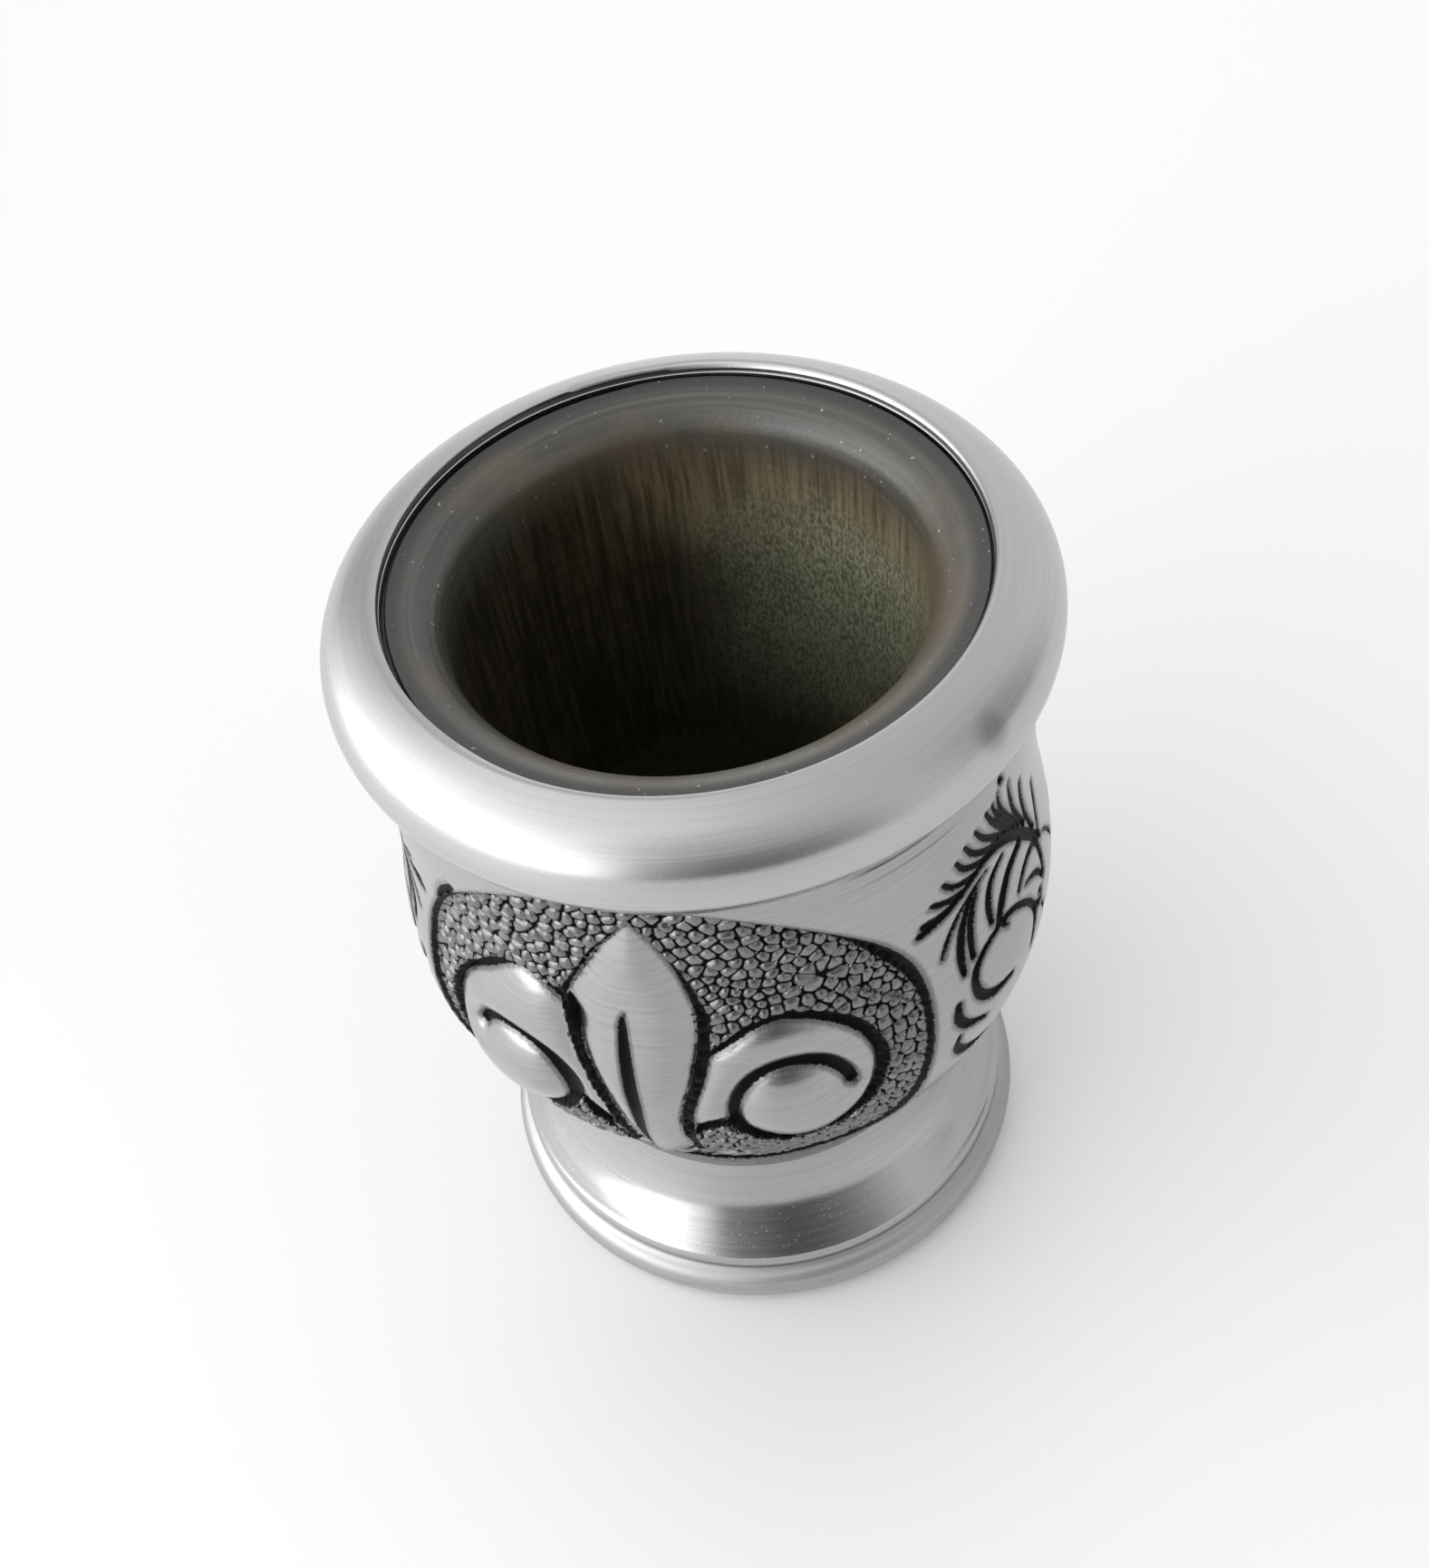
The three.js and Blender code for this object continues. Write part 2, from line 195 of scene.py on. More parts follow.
def placeOf(tree):  # where a point of the piece lies, in millimetres
    coords = setUp(tree, "ShaderNodeTexCoord")
    scaled = setUp(tree, "ShaderNodeVectorMath", operation="SCALE")
    feed(tree, scaled.inputs["Scale"], 1 / mm)
    feed(tree, scaled.inputs[0], coords.outputs["Object"])
    parts = setUp(tree, "ShaderNodeSeparateXYZ")
    feed(tree, parts.inputs[0], scaled.outputs[0])
    level = setUp(tree, "ShaderNodeVectorMath", operation="MULTIPLY")
    feed(tree, level.inputs[0], scaled.outputs[0])
    level.inputs[1].default_value = (1, 1, 0)
    length = setUp(tree, "ShaderNodeVectorMath", operation="LENGTH")
    feed(tree, length.inputs[0], level.outputs[0])
    x, y, height = parts.outputs
    radius = length.outputs["Value"]
    return {"vector": scaled.outputs[0], "x": x, "y": y, "height": height, "radius": radius}


def noiseOf(tree, vector, stretch, detail=2.0, rough=0.5, drift=None):
    scaled = setUp(tree, "ShaderNodeVectorMath", operation="MULTIPLY")
    feed(tree, scaled.inputs[0], vector)
    scaled.inputs[1].default_value = stretch if isinstance(stretch, tuple) else (stretch,) * 3
    noise = setUp(tree, "ShaderNodeTexNoise", noise_dimensions="3D" if drift is None else "4D")
    feed(tree, noise.inputs["Vector"], scaled.outputs[0])
    feed(tree, noise.inputs["Scale"], 1.0)
    feed(tree, noise.inputs["Detail"], detail)
    feed(tree, noise.inputs["Roughness"], rough)
    if drift is not None:
        feed(tree, noise.inputs["W"], drift)
    return noise.outputs["Fac"]


def turnedLines(tree, place, fine, flats=1.0):  # lines that run round the axis, on walls and on flats
    drift = times(tree, place["radius"], flats * fine)
    return noiseOf(tree, place["vector"], (0.03, 0.03, fine), 3.0, 0.6, drift)


def bumpOf(tree, height, strength, depth, under=None):
    bump = setUp(tree, "ShaderNodeBump")
    feed(tree, bump.inputs["Strength"], strength)
    feed(tree, bump.inputs["Distance"], depth * mm)
    feed(tree, bump.inputs["Height"], height)
    if under is not None:
        feed(tree, bump.inputs["Normal"], under)
    return bump.outputs["Normal"]


def mottled(tree, noise, limits, colour, share):  # darker where the noise is low
    return blend(tree, fade(tree, noise, *limits), shaded(colour, share), colour)


def dress(tree, shader, colour, rough, normal):
    feed(tree, shader.inputs["Base Color"], colour)
    feed(tree, shader.inputs["Roughness"], rough)
    feed(tree, shader.inputs["Normal"], normal)


# Aluminium: satin for the collar, the jacket and the disc, polished for the foot
satinLook = {
    "colour": (0.51, 0.51, 0.51), "roughness": (0.22, 0.32), "fine": 4.5, "lineBump": 0.05, "flats": 1.0,
    "anisotropic": 0.6, "dull": 0.93, "smudge": (26.9, -28.0, 100.0), "smudgeSize": 3.0, "smudgeShade": 0.62,
}
chasedLook = {
    "colour": (0.41, 0.41, 0.412), "roughness": (0.18, 0.28), "fine": 5.0, "lineBump": 0.12, "flats": 0.15,
    "anisotropic": 0.5, "dull": 0.85, "black": (0.008, 0.008, 0.009), "patina": 0.52, "blackRoughness": 0.42,
    # where the painted shadow under the collar lies on the jacket, and how dark it is
    "collarShadowHeights": (87.6, 91.4), "collarShadowStart": (9.0, 15.0), "collarShadowEnd": (25.0, 20.0),
    "collarShadowFront": (-14.0, -24.0), "collarShadowDepth": 0.8,
}
polishedLook = {
    "colour": (0.45, 0.452, 0.46), "roughness": (0.12, 0.20), "fine": 2.5, "lineBump": 0.05, "flats": 1.0,
    "anisotropic": 0.6, "dull": 0.88, "satinBelow": 7.2, "satinRoughness": 0.28,
}


def aluminium(name, look):
    material, tree, shader = newMaterial(name)
    place = placeOf(tree)
    lines = turnedLines(tree, place, look["fine"], look["flats"])
    streaks = turnedLines(tree, place, 0.22 * look["fine"], look["flats"])
    clouds = noiseOf(tree, place["vector"], 0.06)
    specks = noiseOf(tree, place["vector"], 1.7, 4.0, 0.7)
    dull = shaded(look["colour"], look["dull"])
    colour = mottled(tree, lines, (0.36, 0.64), look["colour"], look["dull"])
    colour = blend(tree, times(tree, fade(tree, streaks, 0.50, 0.72), 0.3), colour, dull)
    colour = blend(tree, times(tree, fade(tree, clouds, 0.45, 0.70), 0.4), colour, dull)
    low, high = look["roughness"]
    roughness = plus(tree, times(tree, lines, high - low), low)
    roughness = plus(tree, roughness, times(tree, fade(tree, specks, 0.60, 0.75), 0.12))
    normal = bumpOf(tree, lines, look["lineBump"], 0.05)
    normal = bumpOf(tree, clouds, 0.10, 1.0, normal)
    shader.inputs["Metallic"].default_value = 1.0
    shader.inputs["Anisotropic"].default_value = look["anisotropic"]
    tangent = setUp(tree, "ShaderNodeTangent", direction_type="RADIAL", axis="Z")
    feed(tree, shader.inputs["Tangent"], tangent.outputs[0])
    coat = {"place": place, "colour": colour, "roughness": roughness, "normal": normal}
    return material, tree, shader, coat


def satinAluminium(name, look):  # with one dull smudge
    material, tree, shader, coat = aluminium(name, look)
    away = setUp(tree, "ShaderNodeVectorMath", operation="DISTANCE")
    feed(tree, away.inputs[0], coat["place"]["vector"])
    away.inputs[1].default_value = look["smudge"]
    clean = fade(tree, away.outputs["Value"], 0.2 * look["smudgeSize"], look["smudgeSize"])
    dull = shaded(look["colour"], look["smudgeShade"])
    colour = blend(tree, clean, dull, coat["colour"])
    dress(tree, shader, colour, coat["roughness"], coat["normal"])
    return material


def collarShadowStreaks(tree, place, look):  # painted shadow under the collar's skirt, right of the front, broken into dark rubbed streaks
    low, high = look["collarShadowHeights"]
    x, height = place["x"], place["height"]
    band = times(tree, fade(tree, height, low, low + 1), fade(tree, height, high, high - 1))
    arc = times(tree, fade(tree, x, *look["collarShadowStart"]), fade(tree, x, *look["collarShadowEnd"]))
    arc = times(tree, arc, fade(tree, place["y"], *look["collarShadowFront"]))
    lines = fade(tree, turnedLines(tree, place, 1.6), 0.52, 0.66)
    return times(tree, times(tree, band, arc), times(tree, lines, look["collarShadowDepth"]))


def chasedAluminium(name, look):  # the same satin, blackened where the chasing tool has cut
    material, tree, shader, coat = aluminium(name, look)
    mark = setUp(tree, "ShaderNodeAttribute", attribute_name="tarnish").outputs["Fac"]
    frayed = noiseOf(tree, coat["place"]["vector"], 2.4, 4.0, 0.68)
    ragged = times(tree, sumUp(tree, "SUBTRACT", frayed, 0.5), 0.45)
    dark = plus(tree, mark, ragged)
    cover = rampOf(tree, dark, [(0.10, 0.0), (0.36, look["patina"]), (0.50, 0.55), (0.60, 1.0)])
    seam = setUp(tree, "ShaderNodeAttribute", attribute_name="seam").outputs["Fac"]
    clear = fade(tree, plus(tree, seam, times(tree, ragged, 0.2)), 0.08, 0.26)
    cover = sumUp(tree, "MAXIMUM", cover, sumUp(tree, "SUBTRACT", 1.0, clear))
    # adds the painted shadow under the collar
    cover = sumUp(tree, "MAXIMUM", cover, collarShadowStreaks(tree, coat["place"], look))
    colour = blend(tree, cover, coat["colour"], look["black"])
    crust = fade(tree, cover, 0.50, 0.90)  # pebble tops keep the metal's gloss
    rough = plus(tree, coat["roughness"], times(tree, crust, look["blackRoughness"]))
    normal = bumpOf(tree, times(tree, frayed, cover), 0.5, 0.16, coat["normal"])
    dress(tree, shader, colour, rough, normal)
    return material


def polishedAluminium(name, look):  # polished flare over a brushed bead
    material, tree, shader, coat = aluminium(name, look)
    satinTop = look["satinBelow"]
    flare = fade(tree, coat["place"]["height"], satinTop - 0.6, satinTop)
    brushed = sumUp(tree, "SUBTRACT", 1.0, flare)
    rough = plus(tree, coat["roughness"], times(tree, brushed, look["satinRoughness"]))
    pits = noiseOf(tree, coat["place"]["vector"], 2.2, 1.0, 0.4)
    normal = bumpOf(tree, fade(tree, pits, 0.71, 0.76), 0.25, 0.08, coat["normal"])
    dress(tree, shader, coat["colour"], rough, normal)
    return material


satin = satinAluminium("satinAluminium", satinLook)
chased = chasedAluminium("chasedAluminium", chasedLook)
polished = polishedAluminium("polishedAluminium", polishedLook)

# Used wood: grey lip, brown upright grain under it, a greenish stain and dark towards the bottom; brown and
# green are painted lighter on the right-back wall where the light falls, and the left wall is kept dark as
# painted shade
woodLook = {
    "deep": (0.016, 0.013, 0.007), "dim": (0.058, 0.048, 0.028), "brown": (0.250, 0.190, 0.110),
    "green": (0.500, 0.510, 0.350), "lip": (0.096, 0.094, 0.085), "lipBrown": (0.115, 0.088, 0.058),
    # the turn of the side that is painted lighter, where the light falls
    "dust": (0.30, 0.30, 0.28), "ior": 1.6, "litSideTurn": 124.0, "patches": 14.0,
    # from where to where each colour fades in, in millimetres
    "brownHeights": (78.0, 92.0), "brownLitSide": (-2.0, 23.0), "stainLitSide": (11.0, 33.0),
    "stainFoot": (40.0, 72.0), "stainTop": (96.0, 84.0), "bottomTop": (36.0, 58.0),
    # where the painted reflection on the front of the lip fades in
    "lipFoot": (92.5, 101.5), "sheenFront": (-14.0, -30.0), "darkRim": (29.4, 31.2),
}


def woodPatterns(tree, place):
    return {
        "grain": noiseOf(tree, place["vector"], (1.5, 1.5, 0.06), 4.0, 0.62),
        "stains": noiseOf(tree, place["vector"], 0.055, 3.0),
        "rings": turnedLines(tree, place, 1.5),
        "pores": noiseOf(tree, place["vector"], (2.6, 2.6, 1.3), 4.0, 0.7),
        "dust": noiseOf(tree, place["vector"], 1.3, 1.0, 0.4),
    }


def woodWall(tree, look, place, noise):  # painted shade: dim grain on the left; painted light on the right-back side: brown near the top and a greenish stain; dark towards the bottom
    height = place["height"]
    turn = math.radians(look["litSideTurn"])
    towardLitSide = plus(tree, times(tree, place["x"], math.sin(turn)), times(tree, place["y"], -math.cos(turn)))
    patchy = times(tree, sumUp(tree, "SUBTRACT", noise["stains"], 0.5), look["patches"])
    patchyHeight = plus(tree, height, patchy)
    wall = blend(tree, fade(tree, noise["grain"], 0.40, 0.66), look["deep"], look["dim"])
    wall = blend(tree, times(tree, fade(tree, noise["rings"], 0.46, 0.60), 0.5), wall, look["deep"])
    brown = mottled(tree, noise["grain"], (0.36, 0.64), look["brown"], 0.35)
    # brown grain, painted lighter on the right-back side where the light falls
    litBrown = fade(tree, patchyHeight, *look["brownHeights"])
    litBrown = times(tree, litBrown, fade(tree, towardLitSide, *look["brownLitSide"]))
    wall = blend(tree, litBrown, wall, brown)
    mossy = mottled(tree, noise["pores"], (0.38, 0.62), look["green"], 0.30)
    # greenish stain, painted lighter on the right-back side where the light falls
    litStain = fade(tree, plus(tree, towardLitSide, patchy), *look["stainLitSide"])
    litStain = times(tree, litStain, fade(tree, height, *look["stainFoot"]))
    litStain = times(tree, litStain, fade(tree, patchyHeight, *look["stainTop"]))
    wall = blend(tree, times(tree, litStain, 0.9), wall, mossy)
    return blend(tree, fade(tree, height, *look["bottomTop"]), look["deep"], wall)


def woodLip(tree, look, place, noise):  # grey with turned rings, with a painted reflection that makes it paler in front, dark at its outer edge
    lip = mottled(tree, noise["rings"], (0.34, 0.66), look["lip"], 0.55)
    # painted reflection: the lip is paler in front
    frontSheen = times(tree, fade(tree, place["y"], *look["sheenFront"]), 0.7)
    lip = blend(tree, frontSheen, lip, shaded(look["lip"], 2.0))
    lip = blend(tree, times(tree, fade(tree, noise["stains"], 0.50, 0.64), 0.7), lip, look["lipBrown"])
    lip = blend(tree, fade(tree, place["radius"], *look["darkRim"]), lip, shaded(look["lip"], 0.35))
    return blend(tree, fade(tree, noise["dust"], 0.74, 0.78), lip, look["dust"])


def usedWood(name, look):
    material, tree, shader = newMaterial(name)
    place = placeOf(tree)
    noise = woodPatterns(tree, place)
    wall = woodWall(tree, look, place, noise)
    lip = woodLip(tree, look, place, noise)
    edge = plus(tree, place["height"], times(tree, noise["grain"], 4.0))
    colour = blend(tree, fade(tree, edge, *look["lipFoot"]), wall, lip)
    normal = bumpOf(tree, noise["grain"], 0.30, 0.25)
    normal = bumpOf(tree, noise["rings"], 0.35, 0.10, normal)
    normal = bumpOf(tree, noise["pores"], 0.15, 0.10, normal)
    rough = plus(tree, times(tree, noise["pores"], 0.20), 0.26)
    shader.inputs["IOR"].default_value = look["ior"]
    dress(tree, shader, colour, rough, normal)
    return material


wood = usedWood("usedWood", woodLook)
print("materials done")

# Turned wooden cup: lip, throat and bowl, and the solid stem that fills the metal skins
woodSize = {
    "lipDrop": 1.5, "lipWidth": 6.1, "lipFall": 1.2, "lipRound": 3.8, "bowlFloor": 31.0, "bowlRise": 23.0,
    "draft": 1.4, "ringDepth": 0.06, "ringPitch": 2.3, "around": 192,
    "shrink": 0.3, "shrinkRadius": 30.2, "shrinkOver": 1.6, "shrinkAbove": 101.0, "shrinkTurns": (-178, -55),
    # radius and height up the side that the metal covers
    "covered": [(0, 2.5), (30.2, 2.5), (32.7, 6.0), (32.0, 9.3), (28.6, 12.2), (25.9, 16.0), (24.4, 21.0),
                (24.4, 25.7), (26.2, 26.8), (30.0, 33.4), (34.2, 41.6), (36.4, 49.0), (36.9, 57.0),
                (35.8, 66.0), (34.6, 80.0), (34.6, 90.0), (35.5, 94.0), (38.0, 97.0), (36.4, 100.6),
                (33.6, 101.3)],
    "coveredTop": 101.4,
}


def makeWoodCup(size):
    lipHeight = cup["top"] - size["lipDrop"]
    throat = (cup["mouth"] - size["lipWidth"], lipHeight - size["lipFall"])
    lipEdge = cup["mouth"] - cup["gap"]
    turn = size["lipRound"]
    turnStart = (throat[0] + turn, throat[1] + size["lipFall"] * turn / size["lipWidth"])
    turnEnd = (throat[0], throat[1] - turn)
    side = (throat[0] - size["draft"], size["bowlFloor"] + size["bowlRise"])
    profile = size["covered"] + [(lipEdge, size["coveredTop"])]
    profile += [(lipEdge, lipHeight - 0.3), (lipEdge - 0.2, lipHeight - 0.04)]
    profile += straight(5, profile[-1], turnStart)
    startHandle = (throat[0] + 0.5 * turn, throat[1] + 0.12)
    profile += bend(8, turnStart, startHandle, (throat[0], throat[1] - 0.4 * turn), turnEnd)
    profile += straight(22, turnEnd, side)
    floor = (0, size["bowlFloor"])
    bottom = bend(24, side, (side[0], side[1] - 0.6 * size["bowlRise"]), (0.55 * side[0], floor[1]), floor)
    for r, z in bottom[:-1]:
        profile.append((r + size["ringDepth"] * math.sin(2 * math.pi * z / size["ringPitch"]), z))
    profile.append(floor)
    piece = turnPiece("woodCup", profile, size["around"])
    points = pointsOf(piece)
    radius, angle = np.hypot(points[:, 0], points[:, 1]), turnOf(points)
    rim = smoothStep((radius - size["shrinkRadius"]) / size["shrinkOver"])
    rim = rim * (points[:, 2] > size["shrinkAbove"])
    back, front = size["shrinkTurns"]  # shrunk from the collar between them
    left = smoothStep((front - angle) / 25) * smoothStep((angle - back) / 6)
    points[:, :2] *= (1 - size["shrink"] * rim * left / np.maximum(radius, 1))[:, None]
    movePoints(piece, points)
    return piece


woodCup = makeWoodCup(woodSize)
finishPiece(woodCup, "wood_cup", wood, 40)

# Half-round collar: crown, skirt, and the hem of two layers at the mouth
collarSize = {
    "middle": 96.4, "skirt": 91.6, "sheet": 1.0, "edge": 0.7, "hemFoot": 101.6, "hemLine": 102.35,
    "bevel": 0.8, "nicks": (-163, 177), "square": 0.75, "squareTurn": -30, "backSquare": 0.35, "around": 256,
    "inside": [(38.4, 93.6), (38.9, 95.5), (39.0, 97.0), (38.6, 98.9), (37.4, 100.7), (35.4, 101.9)],
    "insideTop": 102.4,
}


def makeCollar(size):
    radius, middle, skirt = cup["widest"], size["middle"], size["skirt"]
    mouth, top = cup["mouth"], cup["top"]
    width, crown, drop = radius - mouth, top - middle, middle - skirt
    bore = cup["neck"] + cup["gap"]
    foot = bore + size["edge"]
    bevel = size["bevel"]
    brow, brim = (mouth + bevel, top), (radius, middle)
    hemFoot, hemLine, lining = size["hemFoot"], size["hemLine"], mouth + size["sheet"]
    profile = [brow]
    crownHandle = (mouth + 0.53 * width, top - 0.15 * crown)
    profile += bend(26, brow, crownHandle, (radius, middle + 0.56 * crown), brim)
    footHandle = (foot + 0.14 * drop, skirt + 0.3 * drop)
    profile += bend(14, brim, (radius, middle - 0.5 * drop), footHandle, (foot, skirt + 0.15))
    profile += [(foot - 0.1, skirt + 0.03), (foot - 0.25, skirt), (bore + 0.1, skirt), (bore, skirt + 0.1)]
    profile += [(bore, skirt + size["edge"])] + size["inside"]
    profile += [(lining, size["insideTop"]), (lining, hemFoot)]
    profile += [(mouth + 0.12, hemFoot), (mouth, hemFoot + 0.12), (mouth, hemLine - 0.12)]
    profile += [(mouth + 0.14, hemLine), (mouth, hemLine + 0.12), (mouth, top - bevel)]
    profile += [(mouth + 0.15 * bevel, top - 0.5 * bevel), (mouth + 0.5 * bevel, top - 0.15 * bevel), brow]
    piece = turnPiece("rimCollar", profile, size["around"])
    points = pointsOf(piece)
    radius, angle = np.hypot(points[:, 0], points[:, 1]), turnOf(points)
    hem = (radius < mouth + bevel - 0.05) & (points[:, 2] > top - bevel - 0.05)
    first, second = size["nicks"]
    square = size["square"] * smoothStep((size["squareTurn"] - angle) / 25) * (angle > first)
    between = (angle < first) | (angle > second)  # two small nicks in the hem
    square = np.where(between, size["backSquare"], square)
    square = np.where(hem, square, 0)
    points[:, :2] *= (1 - square * (radius - mouth) / np.maximum(radius, 1))[:, None]
    points[:, 2] += square * (top - points[:, 2])
    movePoints(piece, points)
    return piece


rimCollar = makeCollar(collarSize)
finishPiece(rimCollar, "rim_collar", satin, 40)

# Flared foot: spigot, ledge, flare, band, nick and bead, with a flat hem underneath
footSize = {
    "spigotRadius": 25.75, "spigotBore": 24.55, "spigotTop": 25.5, "bandRadius": 34.1, "bandTop": 8.43,
    "rollRadius": 1.7, "beadRadius": 3.2, "nickHeight": 0.9, "nickDepth": 0.3, "hemRadius": 29.4,
    "seatRadius": 30.4, "hemHeight": 1.0, "seatTop": 2.5, "around": 256,
    "inside": [(32.9, 6.0), (32.3, 9.0), (28.9, 12.0), (26.2, 16.0), (24.6, 21.0)], "insideTop": 21.3,
}


def makeFoot(size):
    waist, ledge = cup["waist"], cup["waistHeight"]
    band, spigot, hem = size["bandRadius"], size["spigotRadius"], size["hemRadius"]
    bore, seat = size["spigotBore"], size["seatRadius"]
    bead = roundBy(22, (cup["bead"] - size["beadRadius"], size["beadRadius"]), size["beadRadius"], 62, -90)
    roll = roundBy(6, (band - size["rollRadius"], size["bandTop"]), size["rollRadius"], 50, 0)
    flare = roll[0]
    across, rise = flare[0] - waist, ledge - flare[1]
    nickTop = bead[0][1] + size["nickHeight"]
    profile = [(spigot, size["spigotTop"]), (spigot, ledge + 0.02), (waist - 0.3, ledge)]
    profile += [(waist - 0.08, ledge - 0.05), (waist, ledge - 0.3)]
    flareHandle = (flare[0] - 0.42 * across, flare[1] + 0.3 * rise)
    profile += bend(26, profile[-1], (waist, ledge - 0.45 * rise), flareHandle, flare)
    profile += roll[1:]
    profile += [(band, nickTop + 0.25), (band - 0.06, nickTop + 0.06)]
    profile += [(band - size["nickDepth"], nickTop - 0.45)]
    profile += bead
    profile += [(hem + 0.15, 0), (hem, 0.15), (hem, size["hemHeight"]), (seat, size["hemHeight"])]
    profile += [(seat, size["seatTop"])] + size["inside"] + [(bore, size["insideTop"])]
    profile += [(bore, size["spigotTop"]), (spigot, size["spigotTop"])]
    return turnPiece("footShell", profile, size["around"])


footShell = makeFoot(footSize)
finishPiece(footShell, "foot_shell", polished, 40)

# Disc under the foot, with the shallow rings that turning leaves
discSize = {"radius": 30.25, "low": 1.15, "high": 2.35, "ringPitch": 5.0, "ringDepth": 0.12, "around": 128}


def makeBaseDisc(size):
    radius, low, high = size["radius"], size["low"], size["high"]
    profile = [(0, low)]
    for i in range(1, int(radius / size["ringPitch"])):
        ring = i * size["ringPitch"]
        profile += [(ring - 0.3, low), (ring, low + size["ringDepth"]), (ring + 0.3, low)]
    profile += [(radius - 0.15, low), (radius, low + 0.15), (radius, high), (0, high)]
    return turnPiece("baseDisc", profile, size["around"])


baseDisc = makeBaseDisc(discSize)
finishPiece(baseDisc, "base_disc", satin, 30)

# Body jacket: a turned shell whose face is chased into a fleur-de-lis on a pebbled ground, and into foliage
jacketSize = {
    "top": 93.8, "foot": 22.65, "sheet": 1.5, "around": 92, "row": 2.72, "edgeFade": 1.5,
    "stout": 0.9, "stoutFoot": 28.0, "stoutTop": 92.0,  # thicker sheet behind the relief
    "seed": 11, "pebbleGap": (1.0, 2.0), "throws": 30000, "ground": 1.25, "pebbleRise": 0.72,
    "pebbleReach": 1.35, "pebbleSpread": 0.25, "domeReach": 0.8, "pebbleHalf": 38, "pebbleFoot": 24,
    "pebbleTall": 70, "filmRounds": 2400, "rubRounds": 16,
    "drop": 1.6, "dip": 1.7, "swell": 0.10, "steep": 0.42, "crown": 4.6, "groove": 0.45, "border": 0.35,
    "leafCut": 0.45, "leafDent": 0.06, "tarnishFade": 1.2, "cutSnap": 0.17, "seamSnap": 0.20,
}
fleurTurns = (-20.5, 159.5)  # degrees round from the front
leafTurns = (69.5, -106.5)
oval = {
    "middle": (0.9, 58.5), "half": (29.4, 32.8), "line": 0.6,
    "broad": 0.9, "broadAt": (25.5, 74.5), "reach": 7.5,  # where the border's cut is broader
}
sheet = {  # paper for the drawings, and how many degrees to each side of its middle it reaches
    "left": -42.0, "low": 22.0, "cell": 0.2, "columns": 421, "rows": 361, "reach": 75, "away": 200.0,
}

# Closed outlines: across and height in millimetres, flat
petal = [
    (1.5, 88.4), (3.3, 86), (4.8, 83), (6.5, 77), (7, 72), (6.6, 66), (4.7, 58), (3.5, 52), (3.6, 46.5),
    (3.3, 42.6), (0, 41.4), (-3, 42.6), (-3, 47), (-3.7, 52), (-4.7, 57), (-6, 62), (-7, 68),
    (-7.6, 73.6), (-6, 77), (-4, 80.6), (-2, 84.3), (0, 86.8),
]
rightLobe = [
    (8, 66.5), (10, 69), (12.5, 71), (15.3, 72), (18, 71.4), (20.8, 69.9), (23.2, 67.2), (24.9, 64.2),
    (25.7, 61), (25.6, 57.5), (24.7, 54), (22.8, 50.4), (20, 48), (17, 47.2), (14, 48.2), (11.6, 50.2),
    (10.2, 52.8), (9.4, 54.4), (7.2, 53.4), (5.1, 52), (5.3, 55.5), (6.2, 59.5), (7.4, 63.5),
]
leftLobe = [
    (-8.4, 69), (-8.8, 72.4), (-11, 74.6), (-14, 75.4), (-17, 73.8), (-19.6, 71.2), (-22, 68.4),
    (-24, 65.4), (-25.4, 61.8), (-26.2, 58), (-26.2, 54), (-25, 50), (-22.6, 47.4), (-19, 46.2),
    (-15.4, 47), (-12.4, 49.4), (-10.4, 52.6), (-8.4, 54.2), (-5.6, 50.4), (-5, 52.6), (-6, 57),
    (-7.4, 62.5), (-8.3, 66),
]
crossBand = [
    (-9.6, 42.9), (-8.6, 43.6), (0, 43), (8.6, 43.6), (9.6, 42.9), (9.4, 41.2), (8.2, 40.6), (0, 40.2),
    (-8.2, 40.6), (-9.4, 41.2),
]
middleTail = [
    (-2.7, 39.2), (2.7, 39.2), (2.6, 36), (1.9, 33.4), (0, 30), (-1.9, 33.4), (-2.6, 36),
]
rightTail = [
    (3.9, 39.4), (8, 39.6), (9.2, 37.4), (11.4, 35.8), (15, 35.2), (12.2, 33.2), (8.6, 32.6),
    (5.6, 34.2), (4.2, 36.6),
]
leftTail = [(-x, z) for x, z in reversed(rightTail)]

